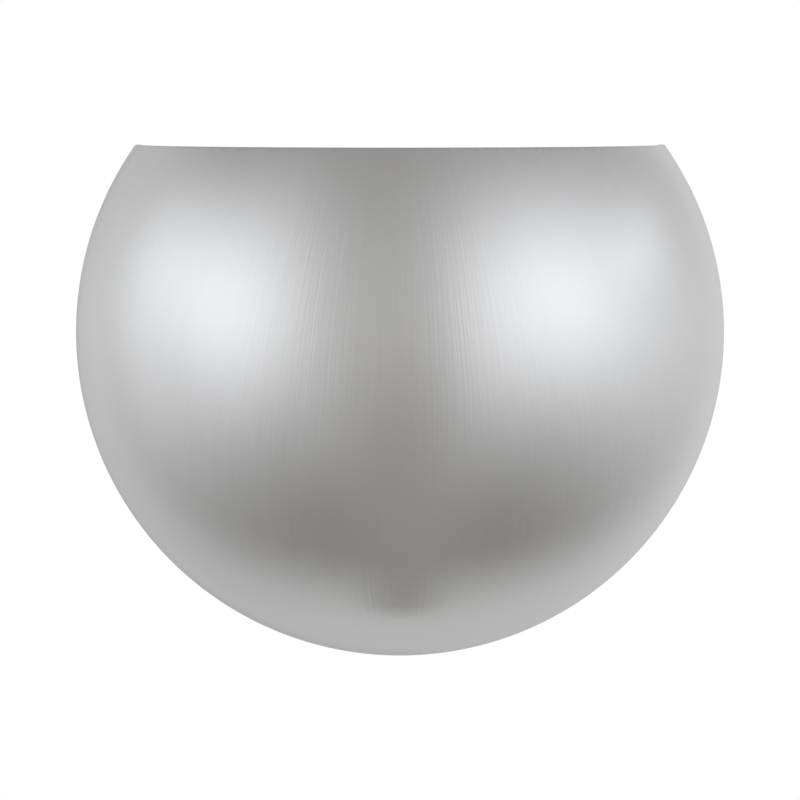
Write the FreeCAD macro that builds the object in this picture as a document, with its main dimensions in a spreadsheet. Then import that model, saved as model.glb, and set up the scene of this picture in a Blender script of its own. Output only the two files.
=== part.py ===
import FreeCAD, Part
import math
import os
from types import SimpleNamespace

import Sketcher

# A half moon wall sconce: a half ball of brushed steel with an open top hangs in front of a
# white pan on the wall, and one bulb stands inside it.
# The frame: X runs to the right along the wall, Y runs into the wall, Z is up. The wall is the
# plane y = 0 and the origin is the middle of the crossbar, which is also the ball's centre.
# Everything is in millimetres and everything lies in front of the wall, at y below zero.

SIZES = {
    # Gaps: a fastener in its hole, a piece that moves, a welded seam, and how far cuts run over.
    "fit_gap": 0.1,
    "run_gap": 0.3,
    "weld_gap": 0.05,
    "overrun": 2.0,
    # The shade: the half ball, the level of its open rim and the edge turned in at the wall.
    "shade_radius": 120.65,
    "shade_wall": 1.0,
    "rim_height": 69.7,
    "shade_flange": 6.0,
    # The tabs welded inside the shade, which carry it on the pan.
    "tab_thick": 1.5,
    "tab_width": 18.0,
    "tab_weld": 18.0,
    "tab_margin": 6.0,
    "side_tab_height": 22.0,
    # The thumb screws that hold the side tabs.
    "thumb_inset": 11.7,
    "thumb_head_radius": 6.5,
    "thumb_head_length": 8.0,
    "thumb_neck_radius": 1.6,
    "thumb_thread_radius": 2.05,
    "thumb_thread_length": 4.0,
    "knurl_radius": 0.5,
    # The pan: how far it stays inside the shade's flange, its depth, sheet and bends.
    "pan_inset": 13.5,
    "pan_depth": 14.0,
    "pan_wall": 1.2,
    "pan_bend": 2.5,
    "pan_corner": 6.0,
    "pan_below_rim": 9.7,
    # The clinch nuts pressed into the pan.
    "clinch_radius": 4.2,
    "clinch_pilot_radius": 3.2,
    "clinch_length": 3.0,
    # The pin on the pan that the bottom tab hangs over.
    "pin_inset": 7.0,
    "pin_radius": 2.0,
    "pin_length": 6.0,
    "pin_foot_radius": 3.4,
    "pin_foot": 1.0,
    # The crossbar that is screwed to the outlet box.
    "slot_spacing": 79.4,
    "slot_length": 14.1,
    "slot_width": 4.6,
    "bar_end": 7.25,
    "bar_width": 22.0,
    "bar_thick": 1.6,
    "bar_corner": 3.0,
    "bar_bore_radius": 5.15,
    # The headless studs from the crossbar through the pan, with their nuts and washers.
    "stud_spacing": 50.8,
    "stud_radius": 2.05,
    "stud_inset": 0.2,
    "stud_tip": 5.0,
    "nut_across": 8.7,
    "nut_thick": 3.2,
    "washer_radius": 5.4,
    "washer_thick": 0.8,
    "cap_nut_base": 3.4,
    "cap_nut_dome": 4.2,
    # The grounding screws and the terminals of the ground lead.
    "ground_offset": 13.0,
    "ground_screw_radius": 1.9,
    "ground_head_radius": 3.6,
    "ground_head_thick": 1.9,
    "ground_screw_end": 1.0,
    "driver_slot_width": 1.0,
    "driver_slot_depth": 0.8,
    "pan_ground_offset": 34.0,
    "pan_ground_drop": 40.0,
    "terminal_radius": 3.9,
    "terminal_thick": 0.8,
    "barrel_radius": 1.9,
    "barrel_wall": 0.5,
    "barrel_length": 6.5,
    # The bracket that carries the lampholder, folded from strip.
    "seat_rise": 38.15,
    "bracket_width": 36.0,
    "bracket_thick": 1.5,
    "bracket_bend": 1.5,
    "bracket_leg": 27.0,
    "bracket_toe": 16.0,
    "bracket_corner": 5.0,
    "rivet_spacing": 18.0,
    "rivet_height": 18.0,
    "rivet_radius": 1.8,
    "rivet_head_radius": 3.6,
    "rivet_head": 1.1,
    "rivet_tail_radius": 2.8,
    "rivet_tail": 1.4,
    # The porcelain lampholder with its screw shell and spring contact.
    "holder_radius": 20.0,
    "holder_height": 38.0,
    "holder_base": 7.0,
    "holder_edge": 1.6,
    "shell_radius": 13.45,
    "shell_wall": 0.4,
    "shell_height": 27.5,
    "shell_floor_bore": 6.0,
    "contact_length": 8.0,
    "contact_width": 5.0,
    "contact_thick": 0.5,
    "contact_rise": 4.7,
    "holder_screw_spacing": 24.0,
    "holder_screw_radius": 1.7,
    "holder_screw_depth": 5.0,
    "holder_head_radius": 3.3,
    "holder_head_thick": 2.0,
    # The two leads of the lampholder and the bushing that takes them through the pan.
    "lead_radius": 1.2,
    "lead_spacing": 9.2,
    "lead_setback": 11.0,
    "lead_depth": 4.0,
    "bushing_below_seat": 13.5,
    "bushing_bore_radius": 6.4,
    "bushing_hole_radius": 7.95,
    "bushing_head_radius": 9.2,
    "bushing_head": 1.6,
    "bushing_barb": 0.5,
    "bushing_tail": 3.0,
    # The push-in connectors on the ends of the leads.
    "connector_length": 16.5,
    "connector_width": 8.8,
    "connector_depth": 7.5,
    "connector_edge": 0.9,
    "connector_off_wall": 1.25,
    "connector_port_depth": 5.0,
    "connector_below_seat": 1.5,
    # The bulb: its glass, its screw cap and what stands inside.
    "bulb_clearance": 14.0,
    "bulb_length": 108.0,
    "bulb_glass": 0.8,
    "bulb_neck_radius": 13.6,
    "bulb_neck_length": 5.0,
    "bulb_cap_top": 27.0,
    "bulb_cap_radius": 13.05,
    "bulb_cap_root": 12.35,
    "bulb_cap_bore": 11.9,
    "bulb_cap_foot": 3.4,
    "thread_pitch": 3.63,
    "bulb_spigot_radius": 11.4,
    "bulb_spigot": 7.0,
    "insulator_radius": 11.6,
    "insulator_neck": 5.0,
    "insulator_height": 3.6,
    "tip_radius": 4.7,
    "tip_height": 1.5,
    "stem_radius": 3.2,
    "stem_height": 57.0,
    "stem_flare_radius": 10.0,
    "wire_radius": 0.4,
    "filament_span": 25.0,
    "filament_height": 80.0,
    "filament_radius": 0.45,
}

KNURLS = 24
THREAD_TURNS = 5

# Shares of the sizes that they follow.
SCREW_TOP_SHARE = 0.75
TONGUE_SHARE = 0.8
STEM_BUTTON_SHARE = 1.3

# How far the ball of the bulb stands above its neck, as a share of the ball's radius.
SHOULDER_SHARE = 46 / 30

# How much of its shorter run a bend of a lead takes up on each side of its corner.
BEND_SHARE = 0.45

# The leads between the lampholder and the pan: shares of the way back to the pan, and of the
# way down from the seat to the bushing.
LEAD_DROP_SHARE = 0.75
LEAD_BOW_SHARES = [(0.27, 1.3), (0.7, 1.16)]
LEAD_RISE_SHARE = 0.93

# The ground lead: shares of the way across, back and up from the pan's terminal to the bar's.
GROUND_LEAD_SHARES = [
    (0.0, 0.0, -0.18),
    (0.22, 0.25, -0.42),
    (0.7, 0.6, -0.44),
    (0.93, 1.1, -0.14),
    (0.93, 1.07, 0.4),
    (1.0, 1.0, 0.8),
]

LEFT_SIDE = -1
RIGHT_SIDE = 1
BOTH_SIDES = (LEFT_SIDE, RIGHT_SIDE)

LEFT_TURN = 1
RIGHT_TURN = -1


class Size:
    """A length: its number now, and the formula that binds a property to the sheet."""

    def __init__(self, number, text):
        self.number = number
        self.text = text

    def __add__(self, other):
        other = as_size(other)
        return Size(self.number + other.number, f"({self.text} + {other.text})")

    def __sub__(self, other):
        other = as_size(other)
        return Size(self.number - other.number, f"({self.text} - {other.text})")

    def __mul__(self, other):
        other = as_size(other)
        return Size(self.number * other.number, f"({self.text} * {other.text})")

    def __truediv__(self, other):
        other = as_size(other)
        return Size(self.number / other.number, f"({self.text} / {other.text})")

    def __radd__(self, other):
        return as_size(other) + self

    def __rsub__(self, other):
        return as_size(other) - self

    def __rmul__(self, other):
        return as_size(other) * self

    def __neg__(self):
        return 0 - self


def as_size(value):
    return value if isinstance(value, Size) else Size(float(value), repr(value))


def root(value):
    return Size(math.sqrt(value.number), f"sqrt({value.text})")


doc = FreeCAD.newDocument("half_moon_wall_sconce")
sheet = doc.addObject("Spreadsheet::Sheet", "sizes")
for row, (word, number) in enumerate(SIZES.items(), 1):
    sheet.set(f"A{row}", word)
    sheet.set(f"B{row}", str(number))
    sheet.setAlias(f"B{row}", word)
doc.recompute()
size = SimpleNamespace(
    **{word: Size(float(sheet.get(word)), f"sizes.{word}") for word in SIZES}
)

# Places that several pieces share, worked out from the sheet.
inner_radius = size.shade_radius - size.shade_wall
pan_radius = inner_radius - size.shade_flange - size.pan_inset
pan_top = size.rim_height - size.pan_below_rim
pan_inside = size.pan_depth - size.pan_wall
tab_front = size.pan_depth + size.tab_thick
thumb_offset = (
    root(pan_radius * pan_radius - size.side_tab_height * size.side_tab_height)
    - size.thumb_inset
)
pin_drop = pan_radius - size.pin_inset
seat_drop = pan_radius - size.seat_rise
bulb_above_neck = size.bulb_length - size.bulb_cap_top - size.bulb_neck_length
bulb_radius = bulb_above_neck / (1 + SHOULDER_SHARE)
bulb_reach = size.pan_depth + size.bulb_clearance + bulb_radius
lead_reach = bulb_reach - size.lead_setback
bushing_drop = seat_drop + size.bushing_below_seat
connector_foot = seat_drop + size.connector_below_seat
connector_middle = size.connector_off_wall + size.connector_depth / 2
bulb_foot = seat_drop - size.holder_base - size.contact_rise - size.run_gap

finished = []


def bind(thing, name, value):
    """Sets one property of a document object through the sheet."""
    thing.setExpression(name, as_size(value).text)


def place(thing, x=0, y=0, z=0):
    bind(thing, ".Placement.Base.x", x)
    bind(thing, ".Placement.Base.y", y)
    bind(thing, ".Placement.Base.z", z)


def finish(piece, label):
    """Names a finished sub-part, whose label is also the name of its file."""
    piece.Label = label
    doc.recompute()
    finished.append(piece)
    return piece


def new_body(name):
    return doc.addObject("PartDesign::Body", name)


def origin_feature(body, role):
    return next(part for part in body.Origin.OriginFeatures if part.Role == role)


def sketch_on(body, role, ahead=0):
    """A sketch on one of the body's own planes, moved ahead along the plane's normal.

    On XZ_Plane the normal points away from the wall, so ahead is a distance from the wall.
    """
    sketch = body.newObject("Sketcher::SketchObject", body.Name + "_sketch")
    sketch.AttachmentSupport = [(origin_feature(body, role), "")]
    sketch.MapMode = "FlatFace"
    bind(sketch, ".AttachmentOffset.Base.z", ahead)
    return sketch


def constrain(sketch, kind, places, value):
    number = sketch.addConstraint(Sketcher.Constraint(kind, *places, as_size(value).number))
    bind(sketch, f"Constraints[{number}]", value)


def arc_between(start, end, radius, turn):
    """The short arc from start to end that turns left or right."""
    across = end - start
    rise = math.sqrt(max(radius**2 - across.Length**2 / 4, 0))
    sideways = FreeCAD.Vector(-across.y, across.x, 0).normalize() * rise * turn
    centre = (start + end) * 0.5 + sideways
    first, last = (start, end) if turn == LEFT_TURN else (end, start)
    begin = math.atan2(first.y - centre.y, first.x - centre.x)
    stop = math.atan2(last.y - centre.y, last.x - centre.x)
    if stop < begin:
        stop += 2 * math.pi
    return Part.ArcOfCircle(Part.Circle(centre, FreeCAD.Vector(0, 0, 1), radius), begin, stop)


def outline(sketch, points, arcs=None):
    """A closed outline through the points.

    The side after point i is straight, or an arc where arcs[i] gives its radius and turn.
    """
    arcs = arcs or {}
    corners = [FreeCAD.Vector(as_size(x).number, as_size(y).number, 0) for x, y in points]
    first = sketch.GeometryCount
    ends = []
    for index, start in enumerate(corners):
        end = corners[(index + 1) % len(corners)]
        if index in arcs:
            radius, turn = arcs[index]
            sketch.addGeometry(arc_between(start, end, as_size(radius).number, turn), False)
            ends.append((1, 2) if turn == LEFT_TURN else (2, 1))
        else:
            sketch.addGeometry(Part.LineSegment(start, end), False)
            ends.append((1, 2))
    for index in range(len(corners)):
        after = (index + 1) % len(corners)
        joined = (first + index, ends[index][1], first + after, ends[after][0])
        sketch.addConstraint(Sketcher.Constraint("Coincident", *joined))
    for index, (x, y) in enumerate(points):
        constrain(sketch, "DistanceX", (-1, 1, first + index, ends[index][0]), x)
        constrain(sketch, "DistanceY", (-1, 1, first + index, ends[index][0]), y)
    for index, (radius, _) in arcs.items():
        constrain(sketch, "Radius", (first + index,), radius)


def rectangle(sketch, left, low, right, high):
    outline(sketch, [(left, low), (right, low), (right, high), (left, high)])


def hexagon(sketch, across):
    """A hexagon round the origin with two corners on the first axis."""
    half = across / 2
    corner = across / root(as_size(3))
    outline(
        sketch,
        [
            (corner, 0),
            (corner / 2, half),
            (-corner / 2, half),
            (-corner, 0),
            (-corner / 2, -half),
            (corner / 2, -half),
        ],
    )


def circle(sketch, x, y, radius):
    centre = FreeCAD.Vector(as_size(x).number, as_size(y).number, 0)
    round_line = Part.Circle(centre, FreeCAD.Vector(0, 0, 1), as_size(radius).number)
    number = sketch.addGeometry(round_line, False)
    constrain(sketch, "DistanceX", (-1, 1, number, 3), x)
    constrain(sketch, "DistanceY", (-1, 1, number, 3), y)
    constrain(sketch, "Radius", (number,), radius)


def slot(sketch, x, y, length, width):
    """A slot with round ends that runs along the first axis."""
    reach = (length - width) / 2
    middle = FreeCAD.Vector(as_size(x).number, as_size(y).number, 0)
    along = FreeCAD.Vector(reach.number, 0, 0)
    up = FreeCAD.Vector(0, width.number / 2, 0)
    normal = FreeCAD.Vector(0, 0, 1)
    quarter = math.pi / 2
    right_end = Part.Circle(middle + along, normal, width.number / 2)
    left_end = Part.Circle(middle - along, normal, width.number / 2)
    first = sketch.GeometryCount
    sketch.addGeometry(Part.ArcOfCircle(right_end, -quarter, quarter), False)
    sketch.addGeometry(Part.LineSegment(middle + along + up, middle - along + up), False)
    sketch.addGeometry(Part.ArcOfCircle(left_end, quarter, 3 * quarter), False)
    sketch.addGeometry(Part.LineSegment(middle - along - up, middle + along - up), False)
    for step in range(4):
        joined = (first + step, 2, first + (step + 1) % 4, 1)
        sketch.addConstraint(Sketcher.Constraint("Tangent", *joined))
    sketch.addConstraint(Sketcher.Constraint("Equal", first, first + 2))
    constrain(sketch, "DistanceX", (-1, 1, first, 3), x + reach)
    constrain(sketch, "DistanceY", (-1, 1, first, 3), y)
    constrain(sketch, "DistanceX", (-1, 1, first + 2, 3), x - reach)
    constrain(sketch, "DistanceY", (-1, 1, first + 2, 3), y)
    constrain(sketch, "Radius", (first,), width / 2)


def pad(sketch, length, back=False, both=False):
    """Raises the sketch along its plane's normal, against it, or to both sides."""
    feature = sketch.getParentGeoFeatureGroup().newObject("PartDesign::Pad", sketch.Name + "_pad")
    feature.Profile = sketch
    bind(feature, "Length", length)
    feature.Reversed = back
    feature.Midplane = both
    doc.recompute()
    return feature


def pocket(sketch, length=None, ahead=False):
    """Cuts against the plane's normal, along it, or right through if no length is given."""
    body = sketch.getParentGeoFeatureGroup()
    before = body.Shape.Volume
    feature = body.newObject("PartDesign::Pocket", sketch.Name + "_pocket")
    feature.Profile = sketch
    if length is None:
        feature.Type = "ThroughAll"
        feature.Midplane = True
    else:
        bind(feature, "Length", length)
        feature.Reversed = ahead
    doc.recompute()
    if not body.Shape.Volume < before:
        raise RuntimeError(f"a cut in {body.Name} takes nothing away")
    return feature


def spin(sketch):
    """Turns the sketch once round its own second axis."""
    body = sketch.getParentGeoFeatureGroup()
    feature = body.newObject("PartDesign::Revolution", sketch.Name + "_spin")
    feature.Profile = sketch
    feature.ReferenceAxis = (sketch, ["V_Axis"])
    feature.Angle = 360
    doc.recompute()
    return feature


def round_edges(body, radius, wanted):
    """Rounds the body's edges for which wanted(edge) is true."""
    base = body.Tip
    edges = base.Shape.Edges
    names = [f"Edge{number}" for number, edge in enumerate(edges, 1) if wanted(edge)]
    feature = body.newObject("PartDesign::Fillet", body.Name + "_round")
    feature.Base = (base, names)
    bind(feature, "Radius", radius)
    doc.recompute()
    return feature


def runs_along(edge, axis):
    """Whether an edge is straight and runs along the named axis."""
    if edge.Curve.TypeId != "Part::GeomLine":
        return False
    direction = edge.tangentAt(edge.FirstParameter)
    return abs(getattr(direction, axis)) > 0.99


def lies_at(edge, axis, value):
    """Whether the whole edge lies in the plane across the named axis at the value."""
    box = edge.BoundBox
    low = getattr(box, axis.upper() + "Min")
    high = getattr(box, axis.upper() + "Max")
    near = 0.001 * size.shade_wall.number
    return max(abs(low - value.number), abs(high - value.number)) < near


def turned(name, plane, points, arcs=None):
    """A piece turned on a lathe: its section has the radius first and the height second."""
    body = new_body(name)
    section = sketch_on(body, plane)
    outline(section, points, arcs)
    spin(section)
    return body


def mirrored_pair(right_one, label):
    """Two like pieces, one each side of the middle, as one group of separate solids."""
    left_one = doc.addObject("Part::Mirroring", label + "_left")
    left_one.Source = right_one
    left_one.Normal = (1, 0, 0)
    group = doc.addObject("Part::Compound", label + "_group")
    group.Links = [right_one, left_one]
    return finish(group, label)


def block(low, high):
    """A box between two corners."""
    box = doc.addObject("Part::Box", "block")
    for name, start, end in zip(("Length", "Width", "Height"), low, high):
        bind(box, name, end - start)
    place(box, *low)
    return box


def ball(radius):
    sphere = doc.addObject("Part::Sphere", "ball")
    bind(sphere, "Radius", radius)
    return sphere


def rod_from_wall(x, z, radius, start, length):
    """A round bar that points away from the wall, from a distance in front of it."""
    rod = doc.addObject("Part::Cylinder", "rod")
    bind(rod, "Radius", radius)
    bind(rod, "Height", length)
    rod.Placement.Rotation = FreeCAD.Rotation(FreeCAD.Vector(1, 0, 0), 90)
    place(rod, x, -start, z)
    return rod


def combine(kind, base, tool):
    joined = doc.addObject("Part::" + kind, kind.lower())
    joined.Base = base
    joined.Tool = tool
    return joined


def route_wire(points):
    """Straight runs joined by arcs, each as large as its two runs allow."""
    spots = [FreeCAD.Vector(*(as_size(value).number for value in point)) for point in points]
    edges = []
    radii = []
    start = spots[0]
    for before, corner, after in zip(spots, spots[1:], spots[2:]):
        run_in = corner - before
        run_out = after - corner
        half_turn = run_in.getAngle(run_out) / 2
        setback = BEND_SHARE * min(run_in.Length, run_out.Length)
        radii.append(setback / math.tan(half_turn))
        begin = corner - run_in.normalize() * setback
        end = corner + run_out.normalize() * setback
        inward = (run_out - run_in).normalize()
        middle = corner + inward * (radii[-1] / math.cos(half_turn) - radii[-1])
        edges.append(Part.LineSegment(start, begin).toShape())
        edges.append(Part.Arc(begin, middle, end).toShape())
        start = end
    edges.append(Part.LineSegment(start, spots[-1]).toShape())
    return Part.Wire(edges), radii


def tube(label, points, radius):
    """A wire of the given radius along a route of points."""
    path, radii = route_wire(points)
    start = path.Vertexes[0].Point
    heading = path.Edges[0].tangentAt(path.Edges[0].FirstParameter)
    section = Part.Wire([Part.makeCircle(radius.number, start, heading)])
    solid = path.makePipeShell([section], True, False)
    expected = math.pi * radius.number**2 * path.Length
    print(
        f"{label}: length {path.Length:.1f}, smallest bend {min(radii):.1f}, "
        f"volume {solid.Volume / expected:.3f} of section times length"
    )
    feature = doc.addObject("Part::Feature", label)
    feature.Shape = solid
    return finish(feature, label)


def make_shade():
    """Half a ball of sheet, open to the wall with its edge turned in, and cut level at the rim."""
    body = new_body("shade")
    wall = size.shade_wall
    lip = inner_radius - size.shade_flange
    section = sketch_on(body, "XY_Plane")
    outline(
        section,
        [
            (lip, 0),
            (size.shade_radius, 0),
            (0, -size.shade_radius),
            (0, -inner_radius),
            (root(inner_radius * inner_radius - wall * wall), -wall),
            (lip, -wall),
        ],
        {1: (size.shade_radius, RIGHT_TURN), 3: (inner_radius, LEFT_TURN)},
    )
    spin(section)
    outside = size.shade_radius + size.overrun
    opening = sketch_on(body, "XZ_Plane")
    rectangle(opening, -outside, size.rim_height, outside, outside)
    pocket(opening)
    # The turned-in edge is trimmed upright under the rim, so that it doesn't show above it.
    rim_corner = root(inner_radius * inner_radius - size.rim_height * size.rim_height)
    trim = sketch_on(body, "XZ_Plane", wall)
    rectangle(trim, wall - rim_corner, 0, rim_corner - wall, outside)
    pocket(trim, wall + size.overrun)
    finish(body, "shade")


def make_shade_tab(low_x, high_x, low_z, high_z, hole_x, hole_z, hole_radius):
    """An angle of sheet: one leg follows the ball and is welded to it, one lies on the pan."""
    weld_radius = inner_radius - size.weld_gap
    welded = combine("Cut", ball(weld_radius), ball(weld_radius - size.tab_thick))
    weld_room = block(
        (low_x, -(size.pan_depth + size.tab_weld), low_z), (high_x, -size.pan_depth, high_z)
    )
    weld_leg = combine("Common", welded, weld_room)
    flat_room = block((low_x, -tab_front, low_z), (high_x, -size.pan_depth, high_z))
    flat_leg = combine("Common", ball(weld_radius), flat_room)
    angle = combine("Fuse", weld_leg, flat_leg)
    hole = rod_from_wall(
        hole_x,
        hole_z,
        hole_radius,
        size.pan_depth - size.overrun,
        size.tab_thick + 2 * size.overrun,
    )
    return combine("Cut", angle, hole)


def make_shade_tabs():
    """A tab each side for the thumb screws, and one at the bottom that hangs over the pin."""
    half = size.tab_width / 2
    right_tab = make_shade_tab(
        thumb_offset - size.tab_margin,
        size.shade_radius,
        size.side_tab_height - half,
        size.side_tab_height + half,
        thumb_offset,
        size.side_tab_height,
        size.thumb_neck_radius + size.run_gap,
    )
    finish(right_tab, "shade_tab_right")
    left_tab = doc.addObject("Part::Mirroring", "left_tab")
    left_tab.Source = right_tab
    left_tab.Normal = (1, 0, 0)
    finish(left_tab, "shade_tab_left")
    bottom_tab = make_shade_tab(
        -half,
        half,
        -size.shade_radius,
        size.tab_margin - pin_drop,
        0,
        -pin_drop,
        size.pin_radius + size.run_gap,
    )
    finish(bottom_tab, "shade_tab_bottom")


def make_thumb_screw(label, side):
    """A knurled screw that stays in its tab, because its neck is thinner than its thread."""
    head_back = -(tab_front + size.run_gap)
    head_front = head_back - size.thumb_head_length
    thread_start = size.run_gap - size.pan_depth
    thread_end = thread_start + size.thumb_thread_length
    edge = size.knurl_radius
    body = turned(
        label,
        "XY_Plane",
        [
            (0, head_front),
            (size.thumb_head_radius - edge, head_front),
            (size.thumb_head_radius, head_front + edge),
            (size.thumb_head_radius, head_back),
            (size.thumb_neck_radius, head_back),
            (size.thumb_neck_radius, thread_start),
            (size.thumb_thread_radius, thread_start),
            (size.thumb_thread_radius, thread_end - edge),
            (size.thumb_thread_radius - edge, thread_end),
            (0, thread_end),
        ],
    )
    groove = sketch_on(body, "XZ_Plane", size.overrun - head_front)
    circle(groove, size.thumb_head_radius, 0, size.knurl_radius)
    first_groove = pocket(groove, size.overrun + size.thumb_head_length - 2 * edge)
    knurling = body.newObject("PartDesign::PolarPattern", label + "_knurling")
    knurling.Originals = [first_groove]
    knurling.Axis = (origin_feature(body, "Y_Axis"), [""])
    knurling.Angle = 360
    knurling.Occurrences = KNURLS
    body.Tip = knurling
    place(body, side * thumb_offset, 0, size.side_tab_height)
    finish(body, label)


def pan_outline(sketch, inset):
    """A disc with its top cut level, drawn a given distance inside the pan's edge."""
    radius = pan_radius - inset
    top = pan_top - inset
    corner = root(radius * radius - top * top)
    outline(
        sketch,
        [(-corner, top), (corner, top), (0, -radius)],
        {1: (radius, RIGHT_TURN), 2: (radius, RIGHT_TURN)},
    )


def is_pan_corner(edge, top):
    """Whether the edge is where the tray's straight top meets its round side."""
    return runs_along(edge, "y") and lies_at(edge, "z", top)


def make_pan():
    """A shallow tray of sheet, open to the wall, with holes for all that is fixed to it."""
    body = new_body("wall_pan")
    outside = sketch_on(body, "XZ_Plane")
    pan_outline(outside, as_size(0))
    pad(outside, size.pan_depth)
    round_edges(body, size.pan_corner, lambda edge: is_pan_corner(edge, pan_top))
    round_edges(body, size.pan_bend, lambda edge: lies_at(edge, "y", -size.pan_depth))
    inside = sketch_on(body, "XZ_Plane")
    pan_outline(inside, size.pan_wall)
    pocket(inside, pan_inside, ahead=True)
    inner_top = pan_top - size.pan_wall
    inner_corner = size.pan_corner - size.pan_wall
    round_edges(body, inner_corner, lambda edge: is_pan_corner(edge, inner_top))
    round_edges(body, size.pan_bend - size.pan_wall, lambda edge: lies_at(edge, "y", -pan_inside))
    holes = sketch_on(body, "XZ_Plane")
    for side in BOTH_SIDES:
        circle(holes, side * size.stud_spacing / 2, 0, size.stud_radius + size.run_gap)
        circle(
            holes,
            side * thumb_offset,
            size.side_tab_height,
            size.clinch_pilot_radius + size.fit_gap,
        )
        circle(
            holes,
            side * size.rivet_spacing / 2,
            size.rivet_height - seat_drop,
            size.rivet_radius + size.fit_gap,
        )
    circle(holes, 0, -bushing_drop, size.bushing_hole_radius)
    circle(holes, 0, -pin_drop, size.pin_radius + size.fit_gap)
    circle(
        holes,
        size.pan_ground_offset,
        -size.pan_ground_drop,
        size.ground_screw_radius + size.fit_gap,
    )
    pocket(holes)
    finish(body, "wall_pan")


def make_clinch_nuts():
    """Round nuts pressed into the pan from behind, for the thumb screws."""
    bore = size.thumb_thread_radius + size.run_gap
    front = -size.pan_depth
    body = turned(
        "clinch_nut",
        "XY_Plane",
        [
            (bore, front),
            (size.clinch_pilot_radius, front),
            (size.clinch_pilot_radius, -pan_inside),
            (size.clinch_radius, -pan_inside),
            (size.clinch_radius, size.clinch_length - pan_inside),
            (bore, size.clinch_length - pan_inside),
        ],
    )
    place(body, thumb_offset, 0, size.side_tab_height)
    mirrored_pair(body, "clinch_nuts")


def make_locating_pin():
    """A pin with a pointed end and a foot behind the pan."""
    front = -(tab_front + size.pin_length)
    foot_back = size.pin_foot - pan_inside
    body = turned(
        "locating_pin",
        "XY_Plane",
        [
            (0, front),
            (size.pin_radius / 2, front),
            (size.pin_radius, front + size.pin_radius),
            (size.pin_radius, -pan_inside),
            (size.pin_foot_radius, -pan_inside),
            (size.pin_foot_radius, foot_back),
            (0, foot_back),
        ],
    )
    place(body, 0, 0, -pin_drop)
    finish(body, "locating_pin")


def make_crossbar():
    """The steel strap for the outlet box: two slots, tapped holes and a middle bore."""
    body = new_body("crossbar")
    half_length = (size.slot_spacing + size.slot_length) / 2 + size.bar_end
    half_width = size.bar_width / 2
    plate = sketch_on(body, "XZ_Plane")
    rectangle(plate, -half_length, -half_width, half_length, half_width)
    pad(plate, size.bar_thick)
    round_edges(body, size.bar_corner, lambda edge: runs_along(edge, "y"))
    holes = sketch_on(body, "XZ_Plane")
    for side in BOTH_SIDES:
        slot(holes, side * size.slot_spacing / 2, as_size(0), size.slot_length, size.slot_width)
        circle(holes, side * size.stud_spacing / 2, 0, size.stud_radius + size.fit_gap)
    circle(holes, 0, 0, size.bar_bore_radius)
    circle(holes, size.ground_offset, 0, size.ground_screw_radius + size.fit_gap)
    pocket(holes)
    finish(body, "crossbar")


def make_studs():
    """Two headless screws that carry the pan on the crossbar."""
    washer_front = size.pan_depth + size.washer_thick
    front = -(washer_front + size.stud_tip)
    edge = size.stud_radius / 4
    stud = turned(
        "mounting_stud",
        "XY_Plane",
        [
            (0, front),
            (size.stud_radius - edge, front),
            (size.stud_radius, front + edge),
            (size.stud_radius, -size.stud_inset),
            (0, -size.stud_inset),
        ],
    )
    place(stud, size.stud_spacing / 2)
    mirrored_pair(stud, "mounting_studs")

    bore = size.stud_radius + size.fit_gap
    nut = new_body("lock_nut")
    flats = sketch_on(nut, "XZ_Plane", size.bar_thick)
    hexagon(flats, size.nut_across)
    circle(flats, 0, 0, bore)
    pad(flats, size.nut_thick)
    place(nut, size.stud_spacing / 2)
    mirrored_pair(nut, "stud_lock_nuts")

    washer = turned(
        "washer",
        "XY_Plane",
        [
            (bore, -washer_front),
            (size.washer_radius, -washer_front),
            (size.washer_radius, -size.pan_depth),
            (bore, -size.pan_depth),
        ],
    )
    place(washer, size.stud_spacing / 2)
    mirrored_pair(washer, "stud_washers")

    cap = new_body("cap_nut")
    cap_flats = sketch_on(cap, "XZ_Plane", washer_front)
    hexagon(cap_flats, size.nut_across)
    pad(cap_flats, size.cap_nut_base)
    dome_foot = -(washer_front + size.cap_nut_base)
    dome_radius = size.nut_across / 2
    dome = sketch_on(cap, "XY_Plane")
    rise = size.cap_nut_dome
    dome_curve = (dome_radius * dome_radius + rise * rise) / (2 * rise)
    outline(
        dome,
        [(0, dome_foot), (0, dome_foot - rise), (dome_radius, dome_foot)],
        {1: (dome_curve, LEFT_TURN)},
    )
    spin(dome)
    blind_bore = sketch_on(cap, "XZ_Plane", washer_front)
    circle(blind_bore, 0, 0, bore)
    pocket(blind_bore, size.stud_tip + size.run_gap, ahead=True)
    place(cap, size.stud_spacing / 2)
    mirrored_pair(cap, "cap_nuts")


def make_slotted_screw(label, head_foot, shank_end):
    """A cheese head screw on the Y axis, its head in front, with a slot for the driver.

    Both places are distances in front of the wall, or in front of what the screw sits on.
    """
    front = head_foot + size.ground_head_thick
    edge = size.driver_slot_depth / 2
    body = turned(
        label,
        "XY_Plane",
        [
            (0, -front),
            (size.ground_head_radius - edge, -front),
            (size.ground_head_radius, edge - front),
            (size.ground_head_radius, -head_foot),
            (size.ground_screw_radius, -head_foot),
            (size.ground_screw_radius, -shank_end),
            (0, -shank_end),
        ],
    )
    half = size.driver_slot_width / 2
    across = size.ground_head_radius + size.overrun
    driver_slot = sketch_on(body, "XZ_Plane", front)
    rectangle(driver_slot, -across, -half, across, half)
    pocket(driver_slot, size.driver_slot_depth)
    return body


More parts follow.
